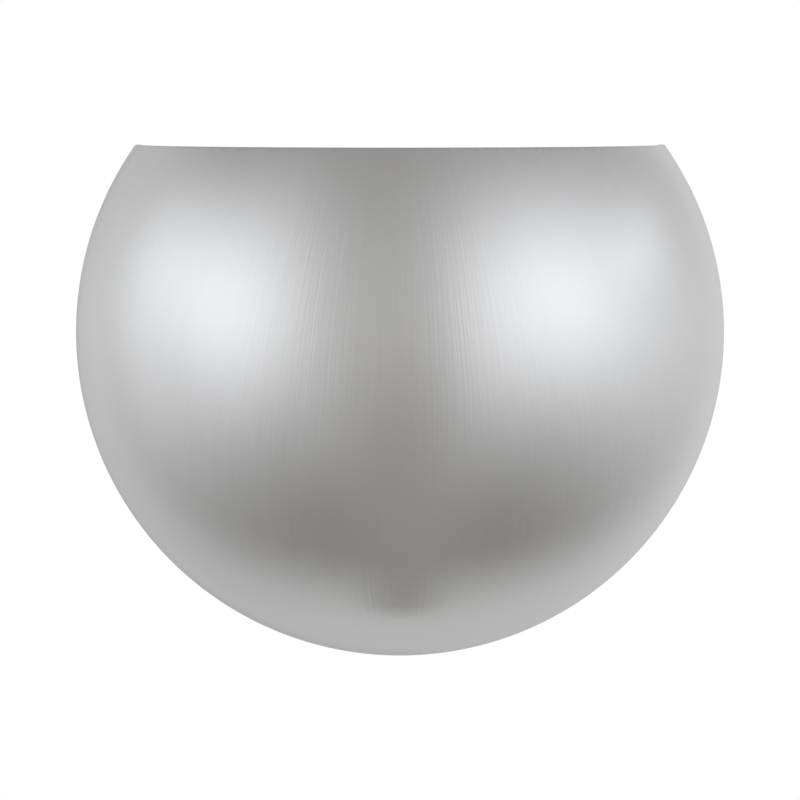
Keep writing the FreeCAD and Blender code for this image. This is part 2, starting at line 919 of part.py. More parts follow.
def make_terminal(label):
    """A ring terminal, its ring flat on the XZ plane and its barrel pointing down."""
    body = new_body(label)
    ring = sketch_on(body, "XZ_Plane")
    circle(ring, 0, 0, size.terminal_radius)
    pad(ring, size.terminal_thick)
    tongue = sketch_on(body, "XZ_Plane")
    half = size.barrel_radius * TONGUE_SHARE
    barrel_start = size.ground_head_radius + size.run_gap
    rectangle(tongue, -half, -(barrel_start + size.barrel_radius), half, 0)
    pad(tongue, size.terminal_thick)
    barrel = sketch_on(body, "XY_Plane", -(barrel_start + size.barrel_length))
    circle(barrel, 0, -size.barrel_radius, size.barrel_radius)
    pad(barrel, size.barrel_length)
    barrel_bore = sketch_on(body, "XY_Plane", -(barrel_start + size.barrel_length))
    circle(barrel_bore, 0, -size.barrel_radius, size.barrel_radius - size.barrel_wall)
    pocket(barrel_bore, size.barrel_length - size.terminal_thick, ahead=True)
    hole = sketch_on(body, "XZ_Plane")
    circle(hole, 0, 0, size.ground_screw_radius + size.fit_gap)
    pocket(hole)
    return body


def make_grounding():
    """Two screws, two ring terminals and the green lead that ties the pan to the crossbar."""
    bar_screw = make_slotted_screw(
        "ground_screw", size.bar_thick + size.terminal_thick, size.stud_inset
    )
    place(bar_screw, size.ground_offset)
    finish(bar_screw, "ground_screw")

    facing_wall = FreeCAD.Rotation(FreeCAD.Vector(0, 0, 1), 180)
    pan_screw = make_slotted_screw(
        "pan_ground_screw", size.terminal_thick, -(size.pan_wall + size.ground_screw_end)
    )
    pan_screw.Placement.Rotation = facing_wall
    place(pan_screw, size.pan_ground_offset, -pan_inside, -size.pan_ground_drop)
    finish(pan_screw, "pan_ground_screw")

    bar_terminal = make_terminal("bar_terminal")
    place(bar_terminal, size.ground_offset, -size.bar_thick)
    pan_terminal = make_terminal("pan_terminal")
    pan_terminal.Placement.Rotation = facing_wall
    place(pan_terminal, size.pan_ground_offset, -pan_inside, -size.pan_ground_drop)
    terminals = doc.addObject("Part::Compound", "terminals")
    terminals.Links = [bar_terminal, pan_terminal]
    finish(terminals, "ring_terminals")

    mouth = size.ground_head_radius + size.run_gap + size.barrel_length
    inward = size.barrel_length / 2
    start = (
        size.pan_ground_offset,
        size.barrel_radius - pan_inside,
        -(size.pan_ground_drop + mouth),
    )
    end = (size.ground_offset, -(size.bar_thick + size.barrel_radius), -mouth)
    between = [
        tuple(low + (high - low) * share for low, high, share in zip(start, end, shares))
        for shares in GROUND_LEAD_SHARES
    ]
    into_pan_barrel = (start[0], start[1], start[2] + inward)
    into_bar_barrel = (end[0], end[1], end[2] + inward)
    tube("ground_lead", [into_pan_barrel, *between, into_bar_barrel], size.lead_radius)


def make_bracket():
    """An angle of strip: one leg riveted to the pan, one under the lampholder."""
    body = new_body("socket_bracket")
    back = -size.pan_depth
    thick = size.bracket_thick
    toe = -(bulb_reach + size.bracket_toe)
    seat = -seat_drop
    section = sketch_on(body, "YZ_Plane")
    outline(
        section,
        [
            (back, seat - thick),
            (back, seat + size.bracket_leg),
            (back - thick, seat + size.bracket_leg),
            (back - thick, seat),
            (toe, seat),
            (toe, seat - thick),
        ],
    )
    pad(section, size.bracket_width, both=True)
    inner_bend = lambda edge: (
        runs_along(edge, "x") and lies_at(edge, "z", seat) and lies_at(edge, "y", back - thick)
    )
    round_edges(body, size.bracket_bend, inner_bend)
    outer_bend = lambda edge: (
        runs_along(edge, "x") and lies_at(edge, "z", seat - thick) and lies_at(edge, "y", back)
    )
    round_edges(body, size.bracket_bend + thick, outer_bend)
    top_corners = lambda edge: (
        runs_along(edge, "y") and edge.BoundBox.ZMin > (seat + size.bracket_leg / 2).number
    )
    round_edges(body, size.bracket_corner, top_corners)
    toe_corners = lambda edge: runs_along(edge, "z") and lies_at(edge, "y", toe)
    round_edges(body, size.bracket_corner, toe_corners)
    leg_holes = sketch_on(body, "XZ_Plane", size.pan_depth - size.overrun)
    for side in BOTH_SIDES:
        circle(
            leg_holes,
            side * size.rivet_spacing / 2,
            seat + size.rivet_height,
            size.rivet_radius + size.fit_gap,
        )
    pocket(leg_holes, size.overrun + 2 * thick, ahead=True)
    seat_holes = sketch_on(body, "XY_Plane", seat + size.overrun)
    for side in BOTH_SIDES:
        circle(
            seat_holes,
            side * size.holder_screw_spacing / 2,
            -bulb_reach,
            size.holder_screw_radius + size.fit_gap,
        )
    lead_room = 2 * (size.lead_radius + size.run_gap)
    slot(seat_holes, as_size(0), -lead_reach, size.lead_spacing + lead_room, lead_room)
    pocket(seat_holes, size.overrun + 2 * thick)
    finish(body, "socket_bracket")


def make_rivets():
    """Two rivets with a domed head on the bracket and a set tail behind the pan."""
    head_foot = -(size.pan_depth + size.bracket_thick)
    rise = size.rivet_head
    curve = (size.rivet_head_radius * size.rivet_head_radius + rise * rise) / (2 * rise)
    body = turned(
        "bracket_rivet",
        "XY_Plane",
        [
            (0, head_foot - rise),
            (size.rivet_head_radius, head_foot),
            (size.rivet_radius, head_foot),
            (size.rivet_radius, -pan_inside),
            (size.rivet_tail_radius, -pan_inside),
            (size.rivet_tail_radius, size.rivet_tail - pan_inside),
            (0, size.rivet_tail - pan_inside),
        ],
        {0: (curve, LEFT_TURN)},
    )
    place(body, size.rivet_spacing / 2, 0, size.rivet_height - seat_drop)
    mirrored_pair(body, "bracket_rivets")


def make_lampholder():
    """The porcelain body, its brass screw shell, the spring contact and its two screws."""
    recess = size.shell_radius + size.shell_wall + size.run_gap
    top = size.holder_height
    body = turned(
        "lampholder_body",
        "XZ_Plane",
        [
            (0, 0),
            (size.holder_radius, 0),
            (size.holder_radius, top),
            (recess, top),
            (recess, size.holder_base),
            (0, size.holder_base),
        ],
    )
    outer_edges = lambda edge: (
        edge.Curve.TypeId == "Part::GeomCircle"
        and (lies_at(edge, "z", top) or lies_at(edge, "z", as_size(0)))
    )
    round_edges(body, size.holder_edge, outer_edges)
    holes = sketch_on(body, "XY_Plane")
    for side in BOTH_SIDES:
        circle(
            holes,
            side * size.holder_screw_spacing / 2,
            0,
            size.holder_screw_radius + size.fit_gap,
        )
    pocket(holes, size.holder_screw_depth + size.run_gap, ahead=True)
    lead_holes = sketch_on(body, "XY_Plane")
    for side in BOTH_SIDES:
        circle(
            lead_holes,
            side * size.lead_spacing / 2,
            size.lead_setback,
            size.lead_radius + size.fit_gap,
        )
    pocket(lead_holes, size.lead_depth, ahead=True)
    place(body, 0, -bulb_reach, -seat_drop)
    finish(body, "lampholder_body")

    outer = size.shell_radius + size.shell_wall
    lip = outer + size.run_gap / 2
    floor = size.holder_base
    shell_top = floor + size.shell_height
    shell = turned(
        "screw_shell",
        "XZ_Plane",
        [
            (size.shell_floor_bore, floor),
            (outer, floor),
            (outer, shell_top - size.shell_wall),
            (lip, shell_top),
            (lip - size.shell_wall, shell_top),
            (size.shell_radius, shell_top - size.shell_wall),
            (size.shell_radius, floor + size.shell_wall),
            (size.shell_floor_bore, floor + size.shell_wall),
        ],
    )
    place(shell, 0, -bulb_reach, -seat_drop)
    finish(shell, "screw_shell")

    contact = new_body("centre_contact")
    half = size.contact_length / 2
    thick = size.contact_thick
    rise = size.contact_rise
    strip = sketch_on(contact, "XZ_Plane")
    outline(
        strip,
        [
            (-half, 0),
            (half, 0),
            (half, thick),
            (2 * thick - half, thick),
            (-thick, rise - thick),
            (half / 2, rise - thick),
            (half / 2, rise),
            (-2 * thick, rise),
            (-half, 2 * thick),
        ],
    )
    pad(strip, size.contact_width, both=True)
    place(contact, 0, -bulb_reach, floor - seat_drop)
    finish(contact, "centre_contact")

    head_top = -size.bracket_thick
    screw = turned(
        "lampholder_screw",
        "XZ_Plane",
        [
            (0, head_top - size.holder_head_thick),
            (size.holder_head_radius * SCREW_TOP_SHARE, head_top - size.holder_head_thick),
            (size.holder_head_radius, head_top - size.holder_head_thick / 2),
            (size.holder_head_radius, head_top),
            (size.holder_screw_radius, head_top),
            (size.holder_screw_radius, size.holder_screw_depth),
            (0, size.holder_screw_depth),
        ],
    )
    place(screw, size.holder_screw_spacing / 2, -bulb_reach, -seat_drop)
    mirrored_pair(screw, "lampholder_screws")


def make_bushing():
    """A snap-in ring of nylon that keeps the leads off the sheet's edge."""
    head_front = -(size.pan_depth + size.bushing_head)
    bore = size.bushing_bore_radius
    neck = size.bushing_hole_radius - size.fit_gap
    barb = size.bushing_hole_radius + size.bushing_barb
    tail = size.bushing_tail - pan_inside
    behind_pan = size.fit_gap - pan_inside
    body = turned(
        "snap_bushing",
        "XY_Plane",
        [
            (bore + size.bushing_barb, head_front),
            (size.bushing_head_radius - size.bushing_barb, head_front),
            (size.bushing_head_radius, head_front + size.bushing_barb),
            (size.bushing_head_radius, -size.pan_depth),
            (neck, -size.pan_depth),
            (neck, behind_pan),
            (barb, behind_pan),
            (neck, tail),
            (bore, tail),
            (bore, head_front + size.bushing_barb),
        ],
    )
    place(body, 0, 0, -bushing_drop)
    finish(body, "snap_bushing")


def make_leads():
    """The black and the white lead, from the lampholder through the bushing to the connectors."""
    port = size.connector_port_depth
    under = size.bushing_below_seat
    back = lead_reach - size.pan_depth
    behind_pan = (pan_inside + connector_middle) / 2
    for label, side in (("lead_black", LEFT_SIDE), ("lead_white", RIGHT_SIDE)):
        x = side * size.lead_spacing / 2
        bow = [
            (x, back * back_share - lead_reach, -(seat_drop + under * drop_share))
            for back_share, drop_share in LEAD_BOW_SHARES
        ]
        tube(
            label,
            [
                (x, -lead_reach, size.lead_depth - seat_drop),
                (x, -lead_reach, -(seat_drop + under * LEAD_DROP_SHARE)),
                *bow,
                (x, -behind_pan, -(seat_drop + under * LEAD_RISE_SHARE)),
                (x, -connector_middle, -(connector_foot + port / 2)),
                (x, -connector_middle, port - connector_foot),
            ],
            size.lead_radius,
        )


def make_connectors():
    """Two push-in connectors behind the pan, each with a port at both ends."""
    body = new_body("push_connector")
    half = size.connector_width / 2
    foot = -connector_foot
    case = sketch_on(body, "XZ_Plane", size.connector_off_wall)
    rectangle(case, -half, foot, half, foot + size.connector_length)
    pad(case, size.connector_depth)
    round_edges(body, size.connector_edge, lambda edge: runs_along(edge, "z"))
    port_radius = size.lead_radius + size.fit_gap
    lower_port = sketch_on(body, "XY_Plane", foot)
    circle(lower_port, 0, -connector_middle, port_radius)
    pocket(lower_port, size.connector_port_depth, ahead=True)
    upper_port = sketch_on(body, "XY_Plane", foot + size.connector_length)
    circle(upper_port, 0, -connector_middle, port_radius)
    pocket(upper_port, size.connector_port_depth)
    place(body, size.lead_spacing / 2)
    mirrored_pair(body, "push_connectors")


def bulb_piece(body, label):
    """Stands a turned piece of the bulb on the bulb's tip."""
    place(body, 0, -bulb_reach, -bulb_foot)
    finish(body, label)


def make_bulb_glass():
    """The glass: a ball that draws in to a neck, with a thinner spigot inside the cap."""
    radius = bulb_radius
    neck = size.bulb_neck_radius
    glass = size.bulb_glass
    centre = size.bulb_length - radius
    shoulder = radius * SHOULDER_SHARE
    neck_top = centre - shoulder
    hollow = (shoulder * shoulder + neck * neck - radius * radius) / (2 * (radius - neck))
    reach = radius + hollow
    spigot = size.bulb_spigot_radius
    step_low = size.bulb_cap_top + size.run_gap
    step_high = step_low + (neck - spigot)
    foot = size.bulb_cap_top - size.bulb_spigot
    inner = radius - glass
    body = turned(
        "bulb_glass",
        "XZ_Plane",
        [
            (spigot - glass, foot),
            (spigot, foot),
            (spigot, step_low),
            (neck, step_high),
            (neck, neck_top),
            ((neck + hollow) * radius / reach, centre - shoulder * radius / reach),
            (0, size.bulb_length),
            (0, size.bulb_length - glass),
            ((neck + hollow) * inner / reach, centre - shoulder * inner / reach),
            (neck - glass, neck_top),
            (neck - glass, step_high + glass / 2),
            (spigot - glass, step_low + glass / 2),
        ],
        {
            4: (hollow, RIGHT_TURN),
            5: (radius, LEFT_TURN),
            7: (inner, RIGHT_TURN),
            8: (hollow + glass, LEFT_TURN),
        },
    )
    bulb_piece(body, "bulb_glass")


def make_bulb_cap():
    """The screw cap, its insulator and the solder contact at the tip."""
    foot = size.bulb_cap_foot
    pitch = size.thread_pitch
    crest = size.bulb_cap_radius
    valley = size.bulb_cap_root
    rings = []
    for turn in range(THREAD_TURNS):
        low = foot + turn * pitch
        rings.append((valley, low))
        rings.append((crest, low + pitch / 2))
    thread_top = foot + THREAD_TURNS * pitch
    cap = turned(
        "bulb_cap",
        "XZ_Plane",
        [(size.bulb_cap_bore, foot)]
        + rings
        + [
            (valley, thread_top),
            (crest, thread_top + pitch / 4),
            (crest, size.bulb_cap_top),
            (size.bulb_cap_bore, size.bulb_cap_top),
        ],
    )
    bulb_piece(cap, "bulb_cap")

    tip = size.tip_height
    insulator = turned(
        "bulb_insulator",
        "XZ_Plane",
        [
            (0, tip),
            (size.insulator_neck, tip),
            (size.insulator_radius, tip + size.insulator_height / 2),
            (size.insulator_radius, tip + size.insulator_height),
            (0, tip + size.insulator_height),
        ],
    )
    bulb_piece(insulator, "bulb_insulator")

    dome = (size.tip_radius * size.tip_radius + tip * tip) / (2 * tip)
    contact = turned(
        "bulb_contact",
        "XZ_Plane",
        [(0, 0), (size.tip_radius, tip), (0, tip)],
        {0: (dome, LEFT_TURN)},
    )
    bulb_piece(contact, "bulb_contact")


def make_bulb_inside():
    """The glass stem, its two supports and the filament between them."""
    flare = size.stem_flare_radius
    foot = size.bulb_cap_top - size.bulb_spigot
    top = size.stem_height
    thick = size.bulb_glass
    stem = turned(
        "bulb_stem",
        "XZ_Plane",
        [
            (0, foot),
            (flare, foot),
            (flare, foot + thick),
            (size.stem_radius, foot + flare),
            (size.stem_radius, top - size.stem_radius),
            (size.stem_radius * STEM_BUTTON_SHARE, top - size.stem_radius / 2),
            (size.stem_radius, top),
            (0, top),
        ],
    )
    bulb_piece(stem, "bulb_stem")

    half_span = size.filament_span / 2
    knee = top + size.stem_radius
    base = -bulb_foot
    wires = []
    for side in BOTH_SIDES:
        wire, _ = route_wire(
            [
                (side * size.stem_radius / 2, -bulb_reach, base + top + size.weld_gap),
                (side * size.stem_radius / 2, -bulb_reach, base + knee),
                (side * half_span, -bulb_reach, base + size.filament_height - size.stem_radius),
                (side * half_span, -bulb_reach, base + size.filament_height),
            ]
        )
        heading = FreeCAD.Vector(0, 0, 1)
        section = Part.makeCircle(size.wire_radius.number, wire.Vertexes[0].Point, heading)
        wires.append(wire.makePipeShell([Part.Wire([section])], True, False))
    supports = doc.addObject("Part::Feature", "bulb_supports")
    supports.Shape = Part.makeCompound(wires)
    finish(supports, "bulb_supports")

    hook = base + size.filament_height + size.wire_radius + size.filament_radius
    tube(
        "bulb_filament",
        [
            (half_span, -bulb_reach, hook),
            (half_span / 2, -(bulb_reach + half_span / 2), hook),
            (-half_span / 2, -(bulb_reach + half_span / 2), hook),
            (-half_span, -bulb_reach, hook),
        ],
        size.filament_radius,
    )


def check_document():
    """Stops if an object of the document failed, or a sub-part is missing or not valid."""
    doc.recompute()
    for thing in doc.Objects:
        if "Invalid" in thing.State or "Error" in thing.State:
            raise RuntimeError(f"{thing.Name} failed: {thing.State}")
    for piece in finished:
        if piece.Shape.isNull() or not piece.Shape.isValid():
            raise RuntimeError(f"{piece.Label} has no valid shape")


def write_parts():
    os.makedirs("parts", exist_ok=True)
    for piece in finished:
        piece.Shape.exportStep(f"parts/{piece.Label}.step")
        print(f"{piece.Label}: {len(piece.Shape.Solids)} solid, {piece.Shape.Volume:.0f} mm3")


make_shade()
make_shade_tabs()
make_thumb_screw("thumb_screw_left", LEFT_SIDE)
make_thumb_screw("thumb_screw_right", RIGHT_SIDE)
make_pan()
make_clinch_nuts()
make_locating_pin()
make_crossbar()
make_studs()
make_grounding()
make_bracket()
make_rivets()
make_lampholder()
make_bushing()
make_leads()
make_connectors()
make_bulb_glass()
make_bulb_cap()
make_bulb_inside()
check_document()
write_parts()
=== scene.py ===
# %% [markdown]
# A half moon wall sconce is a half ball of brushed metal with an open top. It hangs on a white
# pan, and one bulb inside it throws its light up the wall. The solids come from the frame, which
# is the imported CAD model, and this lesson dresses them. Starting from the frame means that every
# place is already known, so nothing has to be fitted by eye.

import math

import bmesh
import bpy
from mathutils import Matrix, Vector


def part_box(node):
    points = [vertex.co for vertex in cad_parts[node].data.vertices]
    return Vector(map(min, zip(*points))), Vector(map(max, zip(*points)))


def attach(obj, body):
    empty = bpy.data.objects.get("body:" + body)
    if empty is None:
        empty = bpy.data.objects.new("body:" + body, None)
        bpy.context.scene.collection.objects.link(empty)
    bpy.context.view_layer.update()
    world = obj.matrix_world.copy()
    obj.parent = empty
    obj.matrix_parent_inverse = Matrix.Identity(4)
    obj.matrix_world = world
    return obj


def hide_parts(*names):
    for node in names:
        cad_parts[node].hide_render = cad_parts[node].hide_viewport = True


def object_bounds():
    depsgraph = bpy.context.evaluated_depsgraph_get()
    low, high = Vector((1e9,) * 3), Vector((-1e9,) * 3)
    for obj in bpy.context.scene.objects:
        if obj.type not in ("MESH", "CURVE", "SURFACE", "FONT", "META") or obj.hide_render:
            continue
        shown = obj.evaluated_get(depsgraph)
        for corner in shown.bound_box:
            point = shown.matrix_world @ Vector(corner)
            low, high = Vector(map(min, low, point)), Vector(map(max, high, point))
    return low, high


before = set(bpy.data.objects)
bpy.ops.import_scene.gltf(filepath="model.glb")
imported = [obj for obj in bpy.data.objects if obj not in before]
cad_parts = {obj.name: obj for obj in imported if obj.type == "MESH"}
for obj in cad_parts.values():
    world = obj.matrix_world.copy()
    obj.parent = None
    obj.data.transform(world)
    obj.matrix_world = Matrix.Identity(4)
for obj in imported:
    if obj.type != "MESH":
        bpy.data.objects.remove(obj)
cad_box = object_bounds()

# %% [markdown]
# Blender works in metres and a maker of lamps in millimetres. The lengths below are written in
# millimetres and scaled once, where they are used, which keeps them easy to compare with a
# caliper. The ball's radius and the level of its rim are read from the frame.

# %% Units and the ball
MM = 0.001
ball_radius = cad_box[1].x
rim_level = cad_box[1].z
print(f"ball radius {ball_radius / MM:.2f} mm, rim {rim_level / MM:.2f} mm above its centre")

# %% [markdown]
# The photograph was taken from far away and a little above the rim, so the front of the rim
# bows down by three pixels. A near camera would bow it more. From three metres, the height over
# the rim gives that bow, and the size of the ball's outline gives the focal length. Both are
# worked out here instead of being tried.

# %% The camera
IMAGE_SIDE = 800
BALL_PIXELS = 324.18
RIM_BOW_PIXELS = 3.05
CENTRE_ABOVE_MIDDLE = 68.33
CAMERA_DISTANCE = 3.0
SENSOR = 36.0

tangent = math.sqrt(CAMERA_DISTANCE**2 - ball_radius**2)
focal_pixels = BALL_PIXELS * tangent / ball_radius
rim_front = CAMERA_DISTANCE - math.sqrt(ball_radius**2 - rim_level**2)
bow_per_metre = focal_pixels * (1 / rim_front - 1 / CAMERA_DISTANCE)
eye_height = rim_level + RIM_BOW_PIXELS / bow_per_metre
tilt = math.atan(eye_height / CAMERA_DISTANCE) + math.atan(CENTRE_ABOVE_MIDDLE / focal_pixels)

scene = bpy.context.scene
camera = bpy.data.objects.new("camera", bpy.data.cameras.new("camera"))
scene.collection.objects.link(camera)
camera.data.sensor_width = SENSOR
camera.data.lens = focal_pixels * SENSOR / IMAGE_SIDE
camera.data.clip_start = 0.1
camera.data.clip_end = 30.0
camera.location = (0.0, -CAMERA_DISTANCE, eye_height)
camera.rotation_euler = (math.radians(90) - tilt, 0.0, 0.0)
scene.camera = camera
scene.view_settings.view_transform = "Standard"
print(f"eye at {eye_height:.4f} m, lens {camera.data.lens:.1f} mm, tilt {math.degrees(tilt):.2f}")

# %% [markdown]
# A shader tree is a sum written with wires. Wiring it by hand hides the sum, so one small class
# wraps an output socket and turns +, -, * and / into Math nodes. With the reflected forms,
# 1 - mask works as well. Every other node comes from one method that takes the node's type, its
# settings and its sockets, in that order, because some settings change which sockets there are.

# %% Shader values as expressions
class Value:
    """One output of a node. Sums and products of values add the Math nodes that they need."""

    def __init__(self, finish, socket):
        self.finish = finish
        self.socket = socket

    def math(self, operation, *terms):
        settings = {"operation": operation}
        return self.finish.node("ShaderNodeMath", settings, dict(enumerate(terms)))

    def __add__(self, other):
        return self.math("ADD", self, other)

    def __sub__(self, other):
        return self.math("SUBTRACT", self, other)

    def __mul__(self, other):
        return self.math("MULTIPLY", self, other)

    def __truediv__(self, other):
        return self.math("DIVIDE", self, other)

    def __pow__(self, other):
        return self.math("POWER", self, other)

    def __radd__(self, other):
        return self.math("ADD", other, self)

    def __rsub__(self, other):
        return self.math("SUBTRACT", other, self)

    def __rmul__(self, other):
        return self.math("MULTIPLY", other, self)

    def __neg__(self):
        return self * -1

    def above(self, floor):
        return self.math("MAXIMUM", self, floor)

    def below(self, ceiling):
        return self.math("MINIMUM", self, ceiling)


class Finish:
    """A tree of nodes that is being wired, for one material or for the world."""

    MIX_FACTOR, MIX_A, MIX_B, MIX_RESULT = 0, 6, 7, 2

    def __init__(self, tree):
        self.tree = tree
        self.tree.nodes.clear()

    def node(self, kind, settings=None, sockets=None, output=0):
        made = self.tree.nodes.new(kind)
        for name, value in (settings or {}).items():
            setattr(made, name, value)
        for name, value in (sockets or {}).items():
            if isinstance(value, Value):
                self.tree.links.new(value.socket, made.inputs[name])
            else:
                made.inputs[name].default_value = value
        return Value(self, made.outputs[output]) if len(made.outputs) else made

    def place(self, coordinates="Object"):
        return self.node("ShaderNodeTexCoord", output=coordinates)

    def split(self, vector):
        apart = self.node("ShaderNodeSeparateXYZ", None, {0: vector}).socket.node
        return [Value(self, socket) for socket in apart.outputs]

    def join(self, x, y, z):
        return self.node("ShaderNodeCombineXYZ", None, {"X": x, "Y": y, "Z": z})

    def vector(self, operation, first, second, output=0):
        settings = {"operation": operation}
        return self.node("ShaderNodeVectorMath", settings, {0: first, 1: second}, output)

    def tinted(self, colour, level):
        settings = {"operation": "SCALE"}
        return self.node("ShaderNodeVectorMath", settings, {0: colour, "Scale": level})

    def mix(self, factor, first, second):
        sockets = {self.MIX_FACTOR: factor, self.MIX_A: first, self.MIX_B: second}
        return self.node("ShaderNodeMix", {"data_type": "RGBA"}, sockets, self.MIX_RESULT)

    def smooth(self, value, start, end):
        """0 at start, 1 at end and an S-shaped climb between them."""
        settings = {"interpolation_type": "SMOOTHSTEP"}
        sockets = {"Value": value, "From Min": start, "From Max": end}
        return self.node("ShaderNodeMapRange", settings, sockets)

    def noise(self, vector, scale, detail=2.0, roughness=0.5):
        sockets = {"Vector": vector, "Scale": scale, "Detail": detail, "Roughness": roughness}
        return self.node("ShaderNodeTexNoise", None, sockets)

    def stretched(self, x, y, z):
        """Coordinates with each axis scaled, in features per metre."""
        sockets = {"Vector": self.place(), "Scale": (x, y, z)}
        return self.node("ShaderNodeMapping", None, sockets)

    def bump(self, height, depth, strength=1.0):
        sockets = {"Height": height, "Distance": depth, "Strength": strength}
        return self.node("ShaderNodeBump", None, sockets)

    def surface(self, sockets):
        shader = self.node("ShaderNodeBsdfPrincipled", None, sockets)
        self.node("ShaderNodeOutputMaterial", None, {"Surface": shader})


def new_finish(name):
    """A new material and the tree that wires it."""
    material = bpy.data.materials.new(name)
    material.use_nodes = True
    return material, Finish(material.node_tree)


def grey(level):
    return (level, level, level, 1.0)


print("shader helper ready")

# %% [markdown]
# Brushed metal has no colour of its own to speak of: what is seen is the studio, blurred. The
# photograph shows one pale band on each side of the ball, a darker middle and a soft light edge
# along the bottom. So the studio is a dim warm room, a white sweep that lies below and behind
# the object, and long soft boxes on each side that are a little cooler, the front ones wide.
# They could be lamps, but their soft falloff is what shapes the bands, and a glow in the world
# has exactly the falloff it is given.

# %% The studio's soft boxes
SOFT_BOXES = [
    # strength, degrees round from the camera, degrees up, narrowness along, narrowness up
    (0.93, -60.9, 7.4, 3.50, 2.63),
    (0.83, 59.6, 15.4, 1.92, 2.84),
    (0.39, -99.3, 17.6, 3.95, 8.98),
    (0.42, 125.0, -0.2, 0.36, 2.45),
    (0.47, -108.7, -3.3, 3.75, 2.97),
    (0.26, 104.1, 19.3, 12.58, 41.85),
]
SOFT_BOX_TINT = (0.975, 1.0, 1.065)
SOFT_BOX_EDGE = (-0.5, 0.0)


def fading(value):
    return value.math("EXPONENT", -value)


def soft_box(studio, direction, strength, around, up, narrow_along, narrow_up):
    """A glow that fades along the level and up and down by its two narrownesses."""
    turn, lift = math.radians(around), math.radians(up)
    centre = Vector(
        (math.sin(turn) * math.cos(lift), -math.cos(turn) * math.cos(lift), math.sin(lift))
    )
    level = centre.cross((0, 0, 1)).normalized()
    toward, along, height = [
        studio.vector("DOT_PRODUCT", direction, axis, output="Value")
        for axis in (centre, level, level.cross(centre))
    ]
    falloff = along * along * narrow_along + height * height * narrow_up
    return fading(falloff) * studio.smooth(toward, *SOFT_BOX_EDGE) * strength


world = bpy.data.worlds.new("studio")
world.use_nodes = True
scene.world = world
studio = Finish(world.node_tree)
direction = studio.place("Generated")
boxes = sum(soft_box(studio, direction, *box) for box in SOFT_BOXES)
print("soft boxes:", len(SOFT_BOXES))

# %% [markdown]
# The room gets a little darker towards its ceiling and its floor. The sweep comes in from
# behind, the more so the lower it lies, and the stand that holds the object leaves a dark gap in
# the middle of it, up to where the stand ends. That gap is the soft dark tongue in the light
# edge under the ball. Straight behind the object, and a little to its left, the sweep folds into
# a crease that lies in shade, and the crease draws the thin dark line along the ball's foot.

# %% The room and the sweep
ROOM = 0.31
ROOM_TO_CAMERA = 0.045
ROOM_UP = -0.067
ROOM_DOWN = -0.083
SWEEP = 0.132
SWEEP_RIGHT = 0.172
SWEEP_UP = -1.094
SWEEP_LEAST = 0.3
SWEEP_EDGE = (-0.854, -2.019)
SWEEP_LEAN = -1.000
GAP_DEPTH = 0.834
GAP_WIDTH = 0.132
GAP_CENTRE = 0.010
GAP_POINT = 4.5
GAP_END = (-0.547, -0.378)
CREASE_DEPTH = 0.45
CREASE_CENTRE = -0.12
CREASE_WIDTH = 0.2
CREASE_EDGE = (-0.88, -0.99)
ROOM_TINT = (1.04, 1.0, 0.91)

right, away, rise = studio.split(direction)
to_camera, depth = -away, (-rise).above(0)
facing = to_camera.above(0)
room = ROOM + facing * facing * ROOM_TO_CAMERA + rise.above(0) * ROOM_UP + depth * ROOM_DOWN
sweep = (SWEEP + right * SWEEP_RIGHT + rise * SWEEP_UP).above(SWEEP_LEAST)
aside = (right - GAP_CENTRE) ** 2
gap_end = studio.smooth(to_camera - aside * GAP_POINT, *GAP_END)
gap = fading(aside / GAP_WIDTH**2) * gap_end * GAP_DEPTH
behind = studio.smooth(to_camera + depth * SWEEP_LEAN, *SWEEP_EDGE) * (1 - gap)
crease = fading((right - CREASE_CENTRE) ** 2 / CREASE_WIDTH**2) * CREASE_DEPTH
unshaded = 1 - crease * studio.smooth(to_camera, *CREASE_EDGE)
glow = studio.tinted(ROOM_TINT, room * (1 - behind) * unshaded)
glow = studio.vector("ADD", glow, sweep * behind * unshaded)
glow = studio.vector("ADD", glow, studio.tinted(SOFT_BOX_TINT, boxes))
print("room and sweep wired")

# %% [markdown]
# The picture's background is white. Turning the light up to get there would bleach the object,
# so the white is only for rays that look at the background: the camera's own rays, and those
# mirror rays and rays through glass that meet the narrow seam straight behind the object. All
# other rays get the studio's plain level.

# %% The white background
WHITE = (1.0, 1.0, 1.0, 1.0)
WHITE_SEAM = (-0.997, -0.9999)

paths = studio.node("ShaderNodeLightPath").socket.node
looks, mirrored, passed = [
    Value(studio, paths.outputs[name])
    for name in ("Is Camera Ray", "Is Glossy Ray", "Is Transmission Ray")
]
seam = studio.smooth(to_camera, *WHITE_SEAM)
white = (looks + (mirrored + passed) * seam).below(1)
level = studio.mix(white, glow, WHITE)
room_light = studio.node("ShaderNodeBackground", None, {"Color": level, "Strength": 1.0})
studio.node("ShaderNodeOutputWorld", None, {"Surface": room_light})
print("world wired with", len(world.node_tree.nodes), "nodes")

# %% [markdown]
# A wall sconce hangs about as high above the floor as a person's eyes. The floor lies out of the
# photograph's view, pale and wide, and fades into the white before its edge. One soft lamp
# overhead gives painted pieces a bright side and throws the object's shadow on the floor. Metal
# doesn't mirror it, so it leaves the bands on the ball alone.

# %% The floor and the lamp overhead
FLOOR_LEVEL = -1.6
FLOOR_RADIUS = 2.1
FLOOR_STEPS = 96
FLOOR_FADE = (1.0, 2.0)
FLOOR_WHITE = 0.5
FLOOR_GLOW = 1.35
LAMP_SIZE = 1.2
LAMP_POWER = 22.0
LAMP_PLACE = (0.35, -1.1, 1.7)

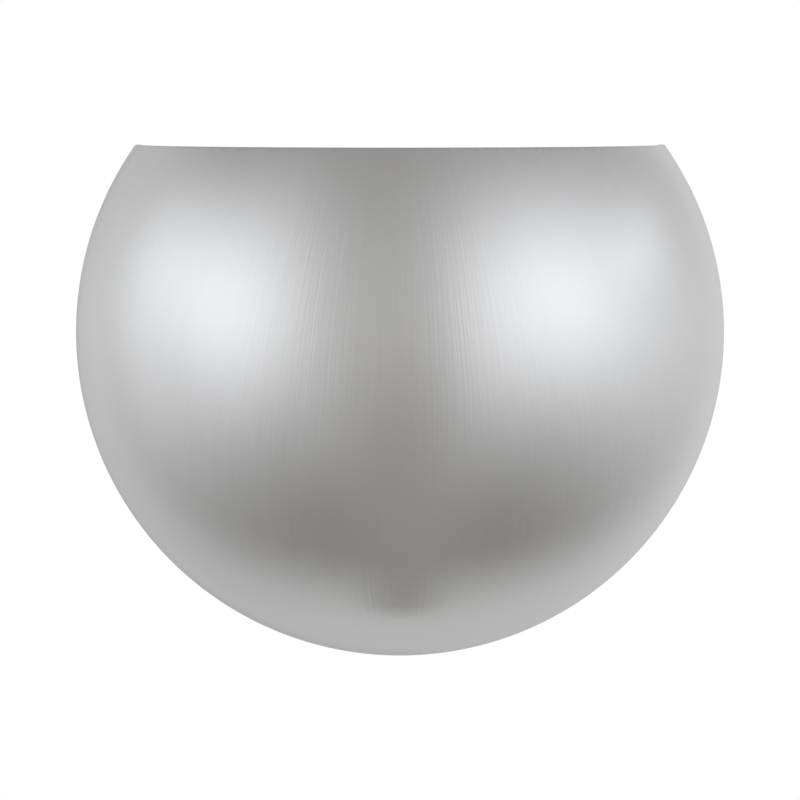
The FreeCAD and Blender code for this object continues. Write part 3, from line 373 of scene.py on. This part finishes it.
floor_mesh = bmesh.new()
bmesh.ops.create_circle(floor_mesh, cap_ends=True, segments=FLOOR_STEPS, radius=FLOOR_RADIUS)
bmesh.ops.translate(floor_mesh, verts=floor_mesh.verts, vec=(0, 0, FLOOR_LEVEL))
floor_data = bpy.data.meshes.new("floor")
floor_mesh.to_mesh(floor_data)
floor_mesh.free()
floor = bpy.data.objects.new("floor", floor_data)
scene.collection.objects.link(floor)

floor_paint, wiring = new_finish("pale_floor")
x, y, z = wiring.split(wiring.place())
distance = (x * x + y * y) ** 0.5
speckle = wiring.noise(wiring.place(), 220.0, 3.0)
tone = wiring.mix(speckle, grey(0.80), grey(0.86))
matt = wiring.node("ShaderNodeBsdfPrincipled", None, {"Base Color": tone, "Roughness": 0.9})
shine = wiring.node("ShaderNodeEmission", None, {"Color": WHITE, "Strength": FLOOR_GLOW})
paths = wiring.node("ShaderNodeLightPath").socket.node
seen = (
    Value(wiring, paths.outputs["Is Camera Ray"])
    + Value(wiring, paths.outputs["Is Glossy Ray"])
    + Value(wiring, paths.outputs["Is Transmission Ray"])
).below(1)
lit = wiring.node("ShaderNodeMixShader", None, {0: seen * FLOOR_WHITE, 1: matt, 2: shine})
clear = wiring.node("ShaderNodeBsdfTransparent")
fade = wiring.smooth(distance, *FLOOR_FADE)
faded = wiring.node("ShaderNodeMixShader", None, {0: fade, 1: lit, 2: clear})
wiring.node("ShaderNodeOutputMaterial", None, {"Surface": faded})
floor_data.materials.append(floor_paint)
floor.visible_diffuse = False
floor.visible_glossy = False

lamp = bpy.data.objects.new("lamp_overhead", bpy.data.lights.new("lamp_overhead", "AREA"))
scene.collection.objects.link(lamp)
lamp.data.shape = "DISK"
lamp.data.size = LAMP_SIZE
lamp.data.energy = LAMP_POWER
lamp.location = LAMP_PLACE
lamp.rotation_euler = (-lamp.location).to_track_quat("-Z", "Y").to_euler()
lamp.visible_camera = False
lamp.visible_glossy = False
print("floor at", FLOOR_LEVEL, "m")

# %% [markdown]
# The shade's skin is nickel that was brushed from the rim down, so its fine lines run like the
# lines of longitude on a globe, but they fan out a little more on their way down. Noise that is
# stretched hard along those lines draws them. They could be painted as colour, but real brush
# lines are tiny grooves that tip the surface sideways, so most of the effect goes into the bump.
# Nickel also mirrors a little less at a glancing angle than the plain formula says, which
# darkens the ball's contour by a trace, and the tint of its glancing light is for that.

# %% Brushed nickel
LINES_PER_METRE = 1250.0
BANDS_PER_METRE = 170.0
LINE_STREAM = 20.0
LINE_FAN = 0.5
BRUSH_DEPTH = 0.05 * MM
NICKEL_DARK, NICKEL_PALE = 0.60, 0.654
NICKEL_GLANCING = 0.98

brushed_nickel, wiring = new_finish("brushed_nickel")
x, y, z = wiring.split(wiring.place())
fan = z.math("EXPONENT", z * (LINE_FAN / ball_radius))
longitude = x.math("ARCTAN2", x, -y) * fan * ball_radius
lines, bands = [
    wiring.noise(
        wiring.join(longitude * per_metre, z * LINE_STREAM, y * LINE_STREAM), 1.0, 3.0, 0.6
    )
    for per_metre in (LINES_PER_METRE, BANDS_PER_METRE)
]
wear = wiring.noise(wiring.place(), 14.0, 4.0)
wiring.surface(
    {
        "Base Color": wiring.mix((lines + bands) * 0.5, grey(NICKEL_DARK), grey(NICKEL_PALE)),
        "Metallic": 1.0,
        "Specular Tint": grey(NICKEL_GLANCING),
        "Roughness": 0.12 + lines * 0.05 + bands * 0.05 + wear * 0.02,
        "Normal": wiring.bump(lines + bands * 0.5, BRUSH_DEPTH),
    }
)
print("brushed nickel wired")

# %% [markdown]
# The inside of the shade, the tabs, the bracket and the pan are coated with white powder that
# melts into a skin like the peel of an orange. A fine even noise in the bump gives that skin,
# and a little unevenness in the gloss keeps the large white faces from looking like paper.

# %% White enamel
white_enamel, wiring = new_finish("white_enamel")
peel = wiring.noise(wiring.place(), 420.0, 2.0)
cloud = wiring.noise(wiring.place(), 22.0, 3.0)
wiring.surface(
    {
        "Base Color": wiring.mix(cloud, (0.80, 0.795, 0.775, 1), (0.85, 0.845, 0.825, 1)),
        "Roughness": 0.30 + cloud * 0.10,
        "Normal": wiring.bump(peel, 0.05 * MM, 0.6),
    }
)
print("white enamel wired")

# %% [markdown]
# The small metal pieces are plated in different ways. Each plating is one call with its own
# colours, gloss and grain, because they differ in those numbers and not in how they are made:
# a base, a second tint in soft patches, and fine scratches that run one way.

# %% Plated and pressed metals
def plated(name, colour, tint, gloss, scratch_depth, stretch=(900.0, 900.0, 60.0)):
    """A metal with soft patches of a second tint and fine scratches along one axis."""
    material, wiring = new_finish(name)
    patches = wiring.noise(wiring.place(), 130.0, 3.0)
    scratches = wiring.noise(wiring.stretched(*stretch), 1.0, 3.0, 0.6)
    wiring.surface(
        {
            "Base Color": wiring.mix(patches, colour, tint),
            "Metallic": 1.0,
            "Roughness": gloss + patches * 0.08 + scratches * 0.06,
            "Normal": wiring.bump(scratches, scratch_depth),
        }
    )
    return material


zinc_plate = plated(
    "zinc_plate", (0.40, 0.42, 0.46, 1), (0.52, 0.50, 0.42, 1), 0.26, 0.015 * MM
)
nickel_plate = plated(
    "nickel_plate", (0.66, 0.64, 0.60, 1), (0.70, 0.68, 0.64, 1), 0.10, 0.003 * MM
)
sheet_brass = plated(
    "sheet_brass", (0.72, 0.53, 0.24, 1), (0.60, 0.42, 0.18, 1), 0.20, 0.008 * MM
)
tin_plate = plated(
    "tin_plate", (0.62, 0.61, 0.59, 1), (0.52, 0.51, 0.49, 1), 0.34, 0.015 * MM
)
lamp_cap_metal = plated(
    "lamp_cap_metal", (0.66, 0.65, 0.62, 1), (0.58, 0.57, 0.54, 1), 0.26, 0.008 * MM
)
green_dip = plated(
    "green_dip", (0.05, 0.30, 0.11, 1), (0.10, 0.38, 0.16, 1), 0.28, 0.010 * MM
)
tungsten = plated("tungsten", (0.22, 0.22, 0.23, 1), (0.30, 0.29, 0.28, 1), 0.42, 0.010 * MM)
solder = plated(
    "solder", (0.44, 0.44, 0.45, 1), (0.56, 0.56, 0.56, 1), 0.38, 0.05 * MM, (600.0,) * 3
)
print("plated metals wired")

# %% [markdown]
# Porcelain, nylon, silicone and the clear grey plastic of the connectors are all dull or glossy
# bodies with a fine grain. One call makes them, with a coat for the glaze.

# %% Ceramic and plastics
def moulded(name, colour, tint, roughness, grain, grain_depth, coat=0.0):
    """A moulded or glazed body with a faint second tint and a fine grain."""
    material, wiring = new_finish(name)
    flow = wiring.noise(wiring.place(), 90.0, 3.0)
    fine = wiring.noise(wiring.place(), grain, 2.0)
    wiring.surface(
        {
            "Base Color": wiring.mix(flow, colour, tint),
            "Roughness": roughness + fine * 0.10,
            "Coat Weight": coat,
            "Coat Roughness": 0.08,
            "Normal": wiring.bump(fine, grain_depth),
        }
    )
    return material


porcelain = moulded(
    "porcelain", (0.80, 0.78, 0.72, 1), (0.84, 0.82, 0.77, 1), 0.28, 500.0, 0.03 * MM, 0.7
)
black_nylon = moulded(
    "black_nylon", (0.018, 0.018, 0.019, 1), (0.028, 0.028, 0.028, 1), 0.42, 1500.0, 0.02 * MM
)
black_insulation = moulded(
    "black_insulation", (0.016, 0.016, 0.017, 1), (0.03, 0.03, 0.03, 1), 0.36, 900.0, 0.02 * MM
)
white_insulation = moulded(
    "white_insulation", (0.74, 0.74, 0.71, 1), (0.80, 0.80, 0.78, 1), 0.36, 900.0, 0.02 * MM
)
green_insulation = moulded(
    "green_insulation", (0.03, 0.22, 0.07, 1), (0.05, 0.27, 0.09, 1), 0.36, 900.0, 0.02 * MM
)
connector_plastic = moulded(
    "connector_plastic", (0.62, 0.63, 0.62, 1), (0.70, 0.71, 0.70, 1), 0.18, 700.0, 0.01 * MM, 0.3
)
black_vitrite = moulded(
    "black_vitrite", (0.012, 0.012, 0.015, 1), (0.03, 0.03, 0.035, 1), 0.12, 800.0, 0.02 * MM, 0.5
)
print("ceramic and plastics wired")

# %% [markdown]
# The bulb's glass is frosted on its inside, so it glows softly and hides its filament, and the
# stem inside is clear. Glass is a shader of its own: light bends through it. The frost is a
# roughness with a fine grain, and the clear glass has only the faint ripple of drawn tube.

# %% Glass
def glass(name, colour, roughness, grain, ripple, clearness=1.0):
    """Glass with a fine grain in its roughness and a faint ripple in its face."""
    material, wiring = new_finish(name)
    fine = wiring.noise(wiring.place(), grain, 2.0)
    wave = wiring.noise(wiring.place(), 60.0, 2.0)
    wiring.surface(
        {
            "Base Color": wiring.mix(wave, colour, grey(0.97)),
            "Roughness": roughness + fine * roughness,
            "IOR": 1.5,
            "Transmission Weight": clearness,
            "Normal": wiring.bump(wave, ripple),
        }
    )
    return material


frosted_glass = glass("frosted_glass", (0.93, 0.93, 0.91, 1), 0.28, 1500.0, 0.05 * MM, 0.45)
clear_glass = glass("clear_glass", (0.90, 0.93, 0.92, 1), 0.02, 900.0, 0.03 * MM)
print("glass wired")

# %% [markdown]
# The CAD nodes that keep their own shape get their finish here, by name. A CAD mesh is never
# touched, only the material in its slots.

# %% Dress the CAD nodes
DRESS = {
    "white_enamel": (
        white_enamel,
        "wall_pan shade_tab_left shade_tab_right shade_tab_bottom socket_bracket",
    ),
    "zinc_plate": (
        zinc_plate,
        "clinch_nuts locating_pin crossbar mounting_studs stud_lock_nuts stud_washers "
        "bracket_rivets lampholder_screws",
    ),
    "tin_plate": (tin_plate, "ring_terminals"),
    "green_dip": (green_dip, "ground_screw pan_ground_screw"),
    "sheet_brass": (sheet_brass, "centre_contact"),
    "black_nylon": (black_nylon, "snap_bushing"),
    "black_insulation": (black_insulation, "lead_black"),
    "white_insulation": (white_insulation, "lead_white"),
    "green_insulation": (green_insulation, "ground_lead"),
    "connector_plastic": (connector_plastic, "push_connectors"),
    "black_vitrite": (black_vitrite, "bulb_insulator"),
    "solder": (solder, "bulb_contact"),
    "clear_glass": (clear_glass, "bulb_stem"),
    "tungsten": (tungsten, "bulb_supports bulb_filament"),
}
for slot, (material, names) in DRESS.items():
    for name in names.split():
        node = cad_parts[name]
        for place in node.material_slots:
            place.material = material
print("dressed", sum(len(names.split()) for _, names in DRESS.values()), "CAD nodes")

# %% [markdown]
# Most of what follows is turned on a lathe in real life, so one pencil draws half sections as
# radius and height, with lines and arcs, and turns them about the Z axis. Both the arcs and the
# turning are the spin operator: once on a single vertex, once on the whole section.

# %% A pencil for turned pieces
FINE = 1e-7
FULL_TURN = 2 * math.pi
UP = (0, 0, 1)


class Section:
    """Draws half a section in millimetres as (radius, height) and turns it about Z."""

    def __init__(self, radius, height):
        self.mesh = bmesh.new()
        self.jump(radius, height)

    def jump(self, radius, height):
        self.tip = self.mesh.verts.new((radius * MM, 0, height * MM))
        return self

    def line(self, *corners):
        for radius, height in corners:
            start = self.tip
            self.jump(radius, height)
            self.mesh.edges.new((start, self.tip))
        return self

    def arc(self, radius, height, degrees, steps):
        """Turns the pencil's tip about a centre. A positive angle goes clockwise."""
        made = bmesh.ops.spin(
            self.mesh,
            geom=[self.tip],
            cent=(radius * MM, 0, height * MM),
            axis=(0, 1, 0),
            angle=math.radians(degrees),
            steps=steps,
        )
        self.tip = next(p for p in made["geom_last"] if isinstance(p, bmesh.types.BMVert))
        return self

    def groove(self, radius, foot, depth, width):
        """Draws a groove with sloping sides into an upright wall, from its foot up."""
        inner, start, end = radius - depth, foot + depth, foot + depth + width
        return self.line((radius, foot), (inner, start), (inner, end), (radius, end + depth))

    def turned(self, steps):
        bmesh.ops.remove_doubles(self.mesh, verts=self.mesh.verts, dist=FINE)
        bmesh.ops.spin(
            self.mesh,
            geom=self.mesh.verts[:] + self.mesh.edges[:],
            cent=(0, 0, 0),
            axis=UP,
            angle=FULL_TURN,
            steps=steps,
            use_merge=True,
        )
        bmesh.ops.remove_doubles(self.mesh, verts=self.mesh.verts, dist=FINE)
        bmesh.ops.recalc_face_normals(self.mesh, faces=self.mesh.faces)
        return self.mesh


def soften(mesh, width, segments=3, sharper_than=25, where=lambda edge: True):
    """Rounds the edges that are sharper than so many degrees."""
    limit = math.radians(sharper_than)
    edges = [e for e in mesh.edges if e.calc_face_angle(0) > limit and where(e)]
    bmesh.ops.bevel(
        mesh,
        geom=edges,
        offset=width * MM,
        offset_type="OFFSET",
        segments=segments,
        profile=0.5,
        affect="EDGES",
        clamp_overlap=True,
        material=-1,
    )
    return mesh


def add_piece(name, mesh, finishes, body, slot, *nodes):
    """Makes an object of a mesh that is in place, and ties it to the frame."""
    data = bpy.data.meshes.new(name)
    mesh.to_mesh(data)
    mesh.free()
    for material in finishes:
        data.materials.append(material)
    data.shade_smooth()
    data.set_sharp_from_angle(angle=math.radians(35))
    piece = bpy.data.objects.new(name, data)
    scene.collection.objects.link(piece)
    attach(piece, body)
    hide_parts(*nodes)
    print(f"{name}: {len(data.polygons)} faces for {', '.join(nodes)}")
    return piece


# %% [markdown]
# The shade is spun over a round former, so it is a turned piece whose axis points at the wall:
# a half ball with its back edge turned in. Then its top is cut off level. The section is drawn
# as a closed wall one millimetre thick, because the cut has to show that thickness at the rim.
# A cut through a turned mesh leaves slivers, so vertices that end up too near the cut are
# welded onto it before the rim is closed and softened.

# %% The shade
BALL = ball_radius / MM
WALL = 1.0
FLANGE_WIDTH = 7.0
FLANGE_EDGE = BALL - FLANGE_WIDTH
FLANGE_ROUND = 0.4
CAVITY = BALL - WALL
SHADE_STEPS = 288
SLIVER = 0.35 * MM

lip_angle = math.degrees(math.asin(WALL / CAVITY))
shade_mesh = (
    Section(FLANGE_EDGE, 0)
    .line((BALL, 0))
    .arc(0, 0, -90, 96)
    .jump(0, CAVITY)
    .arc(0, 0, 90 - lip_angle, 64)
    .line((FLANGE_EDGE, WALL), (FLANGE_EDGE, 0))
    .turned(SHADE_STEPS)
)
soften(shade_mesh, FLANGE_ROUND)
bmesh.ops.rotate(
    shade_mesh,
    verts=shade_mesh.verts,
    cent=(0, 0, 0),
    matrix=Matrix.Rotation(math.radians(90), 3, "X"),
)
print("turned shade:", len(shade_mesh.faces), "faces")

# %% Cut the rim level
cut = bmesh.ops.bisect_plane(
    shade_mesh,
    geom=shade_mesh.verts[:] + shade_mesh.edges[:] + shade_mesh.faces[:],
    dist=FINE,
    plane_co=(0, 0, rim_level),
    plane_no=UP,
    clear_outer=True,
)


def on_rim(vert):
    return abs(vert.co.z - rim_level) < FINE * 10


bmesh.ops.remove_doubles(
    shade_mesh, verts=[v for v in shade_mesh.verts if on_rim(v)], dist=SLIVER
)
near = {}
for edge in shade_mesh.edges:
    first, second = edge.verts
    if on_rim(first) != on_rim(second) and edge.calc_length() < SLIVER:
        target, moved = (first, second) if on_rim(first) else (second, first)
        near.setdefault(moved, target)
bmesh.ops.weld_verts(shade_mesh, targetmap=near)
bmesh.ops.dissolve_degenerate(shade_mesh, edges=shade_mesh.edges, dist=FINE)
print("welded onto the rim:", len(near), "vertices")

# %% [markdown]
# The turned-in edge would stand up behind the rim as two small lugs, and the photograph shows
# none. So the edge is trimmed upright under the rim, before the cuts are closed.

# %% Trim the turned-in edge and close the cuts
FLANGE_ZONE = 1.6 * WALL * MM

trim_at = (math.sqrt(CAVITY**2 - (rim_level / MM) ** 2) - WALL) * MM
for side in (-1, 1):
    edge_faces = [
        face
        for face in shade_mesh.faces
        if all(
            v.co.y > -FLANGE_ZONE and v.co.z > rim_level / 2 and v.co.x * side > 0
            for v in face.verts
        )
    ]
    around = {part for face in edge_faces for part in (*face.verts, *face.edges)}
    trimmed = bmesh.ops.bisect_plane(
        shade_mesh,
        geom=edge_faces + list(around),
        dist=FINE,
        plane_co=(side * trim_at, 0, 0),
        plane_no=(side, 0, 0),
        clear_inner=True,
    )
    chain = [part for part in trimmed["geom_cut"] if isinstance(part, bmesh.types.BMEdge)]
    ends = [v for e in chain for v in e.verts if on_rim(v)]
    chain.append(shade_mesh.edges.new(ends))
    bmesh.ops.contextual_create(shade_mesh, geom=chain)
    print("trim edges:", len(chain))
open_edges = [e for e in shade_mesh.edges if e.is_boundary]
bmesh.ops.holes_fill(shade_mesh, edges=open_edges, sides=0)
print("rim edges:", len(open_edges), "still open:", sum(e.is_boundary for e in shade_mesh.edges))

# %% Soften the rim and paint the inside
RIM_ROUND = 0.28
BARE_RIM = 0.3 * MM
BARE_BACK = 0.5 * MM
NICKEL, ENAMEL = 0, 1

soften(
    shade_mesh,
    RIM_ROUND,
    sharper_than=40,
    where=lambda edge: all(on_rim(v) for v in edge.verts) and len(edge.link_faces) == 2,
)
bmesh.ops.recalc_face_normals(shade_mesh, faces=shade_mesh.faces)
for face in shade_mesh.faces:
    centre = face.calc_center_median()
    inside = centre.length < ball_radius - WALL * MM * 0.8 and centre.y < -BARE_BACK
    below_rim = abs(centre.z - rim_level) > BARE_RIM
    face.material_index = ENAMEL if inside and below_rim else NICKEL
add_piece(
    "shade_bowl", shade_mesh, [brushed_nickel, white_enamel], "shade", "brushed_nickel", "shade"
)

# %% [markdown]
# A thumb screw has a head that is knurled for the fingers, a thin neck that keeps it captive in
# its tab, and a short thread. The head starts as a disc whose rim is pushed in at every second
# pair of vertices, which gives real teeth that catch the light, and the rest is turned.

# %% Rolled screw threads
HAIR = 0.03


def radius_of(vert):
    return vert.co.xy.length / MM


def between(edge, inner, outer):
    """True for an edge that lies, but for a hair, between two radii in millimetres."""
    return all(inner - HAIR < radius_of(v) < outer + HAIR for v in edge.verts)


def roll_thread(mesh, depth, pitch, low, high, least):
    """Presses a rounded thread into the walls from the least radius out, in millimetres."""
    for vert in mesh.verts:
        radius = radius_of(vert)
        height = vert.co.z / MM
        ease = max(0.0, min(1.0, (height - low) / pitch, (high - height) / pitch))
        if ease and radius > least - HAIR:
            turn = math.atan2(vert.co.y, vert.co.x) / FULL_TURN
            wave = 0.5 + 0.5 * math.cos(FULL_TURN * (height / pitch - turn))
            vert.co.xy *= 1 + depth * wave * ease / radius


def rows(mesh, cuts, where):
    """Divides the upright edges that the test picks, so that a thread has rows to bend."""
    edges = [e for e in mesh.edges if where(e) and abs(e.verts[0].co.z - e.verts[1].co.z) > FINE]
    bmesh.ops.subdivide_edges(mesh, edges=edges, cuts=cuts, use_grid_fill=True)


print("thread helpers ready")

# %% The two thumb screws
HEAD_RADIUS, HEAD_LENGTH, HEAD_ROUND = 6.5, 8.0, 0.5
KNURLS, KNURL_STEPS, KNURL_DEPTH, KNURL_REACH = 24, 4, 0.45, 0.3
NECK_RADIUS, NECK_LENGTH = 1.6, 1.9
CORE_RADIUS, TIP_RADIUS, TIP_LENGTH = 1.65, 1.2, 0.3
SCREW_THREAD, SCREW_PITCH, SCREW_ROWS, RUN_IN = 0.4, 0.7, 48, 0.2


def thumb_screw(name, node, body):
    low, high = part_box(node)
    axis_x, axis_z = (low.x + high.x) / 2, (low.z + high.z) / 2
    length = (high.y - low.y) / MM
    shoulder = HEAD_LENGTH + NECK_LENGTH
    mesh = (
        Section(0, 0)
        .line((HEAD_RADIUS, 0), (HEAD_RADIUS, HEAD_LENGTH), (NECK_RADIUS, HEAD_LENGTH))
        .line((NECK_RADIUS, shoulder), (CORE_RADIUS, shoulder))
        .line((CORE_RADIUS, length - TIP_LENGTH), (TIP_RADIUS, length), (0, length))
        .turned(KNURLS * KNURL_STEPS)
    )
    rows(mesh, SCREW_ROWS, lambda edge: between(edge, CORE_RADIUS, CORE_RADIUS))
    thread = (shoulder - RUN_IN, length + TIP_LENGTH)
    roll_thread(mesh, SCREW_THREAD, SCREW_PITCH, *thread, CORE_RADIUS)
    soften(
        mesh,
        HEAD_ROUND,
        sharper_than=60,
        where=lambda edge: between(edge, HEAD_RADIUS, HEAD_RADIUS),
    )
    for vert in mesh.verts:
        radius = radius_of(vert)
        step = round(math.atan2(vert.co.y, vert.co.x) / FULL_TURN * KNURLS * KNURL_STEPS)
        if radius > HEAD_RADIUS - KNURL_REACH and step % KNURL_STEPS < KNURL_STEPS / 2:
            vert.co.xy *= 1 - KNURL_DEPTH / radius
    place = Matrix.Translation((axis_x, low.y, axis_z)) @ Matrix.Rotation(
        math.radians(-90), 4, "X"
    )
    bmesh.ops.transform(mesh, matrix=place, verts=mesh.verts)
    bmesh.ops.recalc_face_normals(mesh, faces=mesh.faces)
    return add_piece(name, mesh, [nickel_plate], body, "nickel_plate", node)


thumb_screw("knurled_screw_left", "thumb_screw_left", "left_screw")
thumb_screw("knurled_screw_right", "thumb_screw_right", "right_screw")

# %% [markdown]
# The lampholder is a cup of glazed porcelain with a brass shell in it that takes the bulb's
# thread. The rolled thread of the shell and of the bulb's cap is the same wave, one pressed in
# and one pressed out, so one helper bends both.

# %% The lampholder's body
CUP_RADIUS, CUP_HEIGHT, CUP_STEPS = 20.0, 38.0, 128
WELL_RADIUS, WELL_FLOOR = 14.15, 7.0
FOOT_GROOVE = {"foot": 8.5, "depth": 0.7, "width": 1.0}
NECK_GROOVE = {"foot": 27.0, "depth": 0.5, "width": 0.8}
CUP_ROUND, GLAZE_ROUND = 1.4, 0.35

low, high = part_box("lampholder_body")
holder_at = Matrix.Translation(((low.x + high.x) / 2, (low.y + high.y) / 2, low.z))
holder_mesh = (
    Section(0, 0)
    .line((CUP_RADIUS, 0))
    .groove(CUP_RADIUS, **FOOT_GROOVE)
    .groove(CUP_RADIUS, **NECK_GROOVE)
    .line((CUP_RADIUS, CUP_HEIGHT), (WELL_RADIUS, CUP_HEIGHT), (WELL_RADIUS, WELL_FLOOR))
    .line((0, WELL_FLOOR))
    .turned(CUP_STEPS)
)
soften(holder_mesh, CUP_ROUND, 5, 60, lambda edge: between(edge, CUP_RADIUS, CUP_RADIUS))
soften(holder_mesh, GLAZE_ROUND, 3, 35)
bmesh.ops.transform(holder_mesh, matrix=holder_at, verts=holder_mesh.verts)
add_piece(
    "porcelain_cup", holder_mesh, [porcelain], "fixture", "porcelain", "lampholder_body"
)

# %% The brass shell in the lampholder
LAMP_PITCH = 3.63
TURN_STEPS = 120
SHELL_OUTER, SHELL_WALL, SHELL_TOP = 13.85, 0.4, 34.5
SHELL_FLOOR_BORE = 6.0
LIP_HEIGHT, LIP_FLARE = 0.4, 0.15
SHELL_THREAD, SHELL_ROWS, SHELL_RUN = -0.3, 56, (9.5, 33.5)

shell_inner = SHELL_OUTER - SHELL_WALL
shell_floor = WELL_FLOOR + SHELL_WALL
lip_foot = SHELL_TOP - LIP_HEIGHT
shell_mesh = (
    Section(SHELL_FLOOR_BORE, WELL_FLOOR)
    .line((SHELL_OUTER, WELL_FLOOR), (SHELL_OUTER, lip_foot))
    .line((SHELL_OUTER + LIP_FLARE, SHELL_TOP), (shell_inner + LIP_FLARE, SHELL_TOP))
    .line((shell_inner, lip_foot), (shell_inner, shell_floor))
    .line((SHELL_FLOOR_BORE, shell_floor), (SHELL_FLOOR_BORE, WELL_FLOOR))
    .turned(TURN_STEPS)
)
rows(shell_mesh, SHELL_ROWS, lambda edge: between(edge, shell_inner, SHELL_OUTER))
roll_thread(shell_mesh, SHELL_THREAD, LAMP_PITCH, *SHELL_RUN, shell_inner)
bmesh.ops.transform(shell_mesh, matrix=holder_at, verts=shell_mesh.verts)
bmesh.ops.recalc_face_normals(shell_mesh, faces=shell_mesh.faces)
add_piece("threaded_shell", shell_mesh, [sheet_brass], "fixture", "sheet_brass", "screw_shell")

# %% [markdown]
# The bulb's outline is a ball that draws in to a neck along one hollow curve. The hollow and the
# ball touch without a corner, and the point where they touch follows from their two radii, so it
# is worked out and not guessed.

# %% The bulb's glass
NECK, BULB_BALL, GLASS = 13.6, 30.0, 0.8
SHOULDER_DROP = 46.0
FOOT_RADIUS, FOOT_LEVEL, FLARE_FOOT, FLARE_TOP = 11.4, 20.0, 27.3, 29.5
GLASS_STEPS = 128

low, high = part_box("bulb_glass")
tip_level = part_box("bulb_contact")[0].z
bulb_at = Matrix.Translation(((low.x + high.x) / 2, (low.y + high.y) / 2, tip_level))
top = (high.z - tip_level) / MM
centre = top - BULB_BALL
shoulder = centre - SHOULDER_DROP
hollow = (SHOULDER_DROP**2 + NECK**2 - BULB_BALL**2) / (2 * (BULB_BALL - NECK))
bend = math.degrees(math.asin(SHOULDER_DROP / (BULB_BALL + hollow)))
bore = FOOT_RADIUS - GLASS
glass_mesh = (
    Section(FOOT_RADIUS, FOOT_LEVEL)
    .line((FOOT_RADIUS, FLARE_FOOT), (NECK, FLARE_TOP), (NECK, shoulder))
    .arc(NECK + hollow, shoulder, bend, 20)
    .arc(0, centre, -(90 + bend), 56)
    .jump(0, top - GLASS)
    .arc(0, centre, 90 + bend, 56)
    .arc(NECK + hollow, shoulder, -bend, 20)
    .line((NECK - GLASS, FLARE_TOP + GLASS / 2), (bore, FLARE_FOOT + GLASS / 2))
    .line((bore, FOOT_LEVEL), (FOOT_RADIUS, FOOT_LEVEL))
    .turned(GLASS_STEPS)
)
bmesh.ops.transform(glass_mesh, matrix=bulb_at, verts=glass_mesh.verts)
add_piece("globe_glass", glass_mesh, [frosted_glass], "lamp", "frosted_glass", "bulb_glass")

# %% The bulb's screw cap
CAP_BORE, CAP_CORE, CAP_FOOT, CAP_TOP = 11.9, 12.35, 3.4, 27.0
SKIRT_RADIUS, SKIRT_SLOPE, SKIRT_FOOT = 13.05, 21.6, 22.5
EDGE_IN, EDGE_DOWN = 0.25, 0.2
CAP_THREAD, CAP_ROWS, CAP_RUN = 0.66, 48, (CAP_FOOT, 22.4)

cap_mesh = (
    Section(CAP_BORE, CAP_FOOT)
    .line((CAP_CORE, CAP_FOOT), (CAP_CORE, SKIRT_SLOPE), (SKIRT_RADIUS, SKIRT_FOOT))
    .line((SKIRT_RADIUS, CAP_TOP - EDGE_DOWN), (SKIRT_RADIUS - EDGE_IN, CAP_TOP))
    .line((CAP_BORE, CAP_TOP), (CAP_BORE, CAP_FOOT))
    .turned(TURN_STEPS)
)
rows(cap_mesh, CAP_ROWS, lambda edge: between(edge, CAP_CORE, CAP_CORE))
roll_thread(cap_mesh, CAP_THREAD, LAMP_PITCH, *CAP_RUN, CAP_CORE)
bmesh.ops.transform(cap_mesh, matrix=bulb_at, verts=cap_mesh.verts)
bmesh.ops.recalc_face_normals(cap_mesh, faces=cap_mesh.faces)
add_piece("rolled_cap", cap_mesh, [lamp_cap_metal], "lamp", "lamp_cap_metal", "bulb_cap")

# %% [markdown]
# Two cap nuts hold the pan. Each is a six-sided base with a turned dome on it. They are small
# but polished, and seen from above they are the brightest points in the bowl, so their edges
# are softened like real ones.

# %% The cap nuts
NUT_ACROSS, NUT_BASE, NUT_DOME, NUT_ROUND = 8.7, 3.4, 4.2, 0.3

low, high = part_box("cap_nuts")
corner = NUT_ACROSS / math.sqrt(3) * MM
nut_x = high.x - corner
nuts_mesh = bmesh.new()
for side in (-1, 1):
    base = bmesh.new()
    bmesh.ops.create_cone(
        base,
        cap_ends=True,
        segments=6,
        radius1=corner,
        radius2=corner,
        depth=NUT_BASE * MM,
    )
    bmesh.ops.rotate(
        base, verts=base.verts, cent=(0, 0, 0), matrix=Matrix.Rotation(math.radians(30), 3, "Z")
    )
    bmesh.ops.translate(base, verts=base.verts, vec=(0, 0, NUT_BASE * MM / 2))
    soften(base, NUT_ROUND, 3, 20)
    radius = NUT_ACROSS / 2
    curve = (radius**2 + NUT_DOME**2) / (2 * NUT_DOME)
    dome_angle = math.degrees(math.asin(radius / curve))
    dome = (
        Section(0, NUT_BASE + NUT_DOME)
        .arc(0, NUT_BASE + NUT_DOME - curve, dome_angle, 16)
        .line((0, NUT_BASE))
        .turned(48)
    )
    place = Matrix.Translation((side * nut_x, high.y, (low.z + high.z) / 2)) @ Matrix.Rotation(
        math.radians(90), 4, "X"
    )
    for half in (base, dome):
        bmesh.ops.transform(half, matrix=place, verts=half.verts)
        nut_half = bpy.data.meshes.new("nut_half")
        half.to_mesh(nut_half)
        half.free()
        nuts_mesh.from_mesh(nut_half)
        bpy.data.meshes.remove(nut_half)
add_piece("dome_nuts", nuts_mesh, [nickel_plate], "fixture", "nickel_plate", "cap_nuts")

# %% [markdown]
# Last, the CAD box is printed in millimetres, as the size that the looks must not change.

# %% The CAD box
print("CAD box   ", [tuple(round(v / MM, 2) for v in corner) for corner in cad_box])
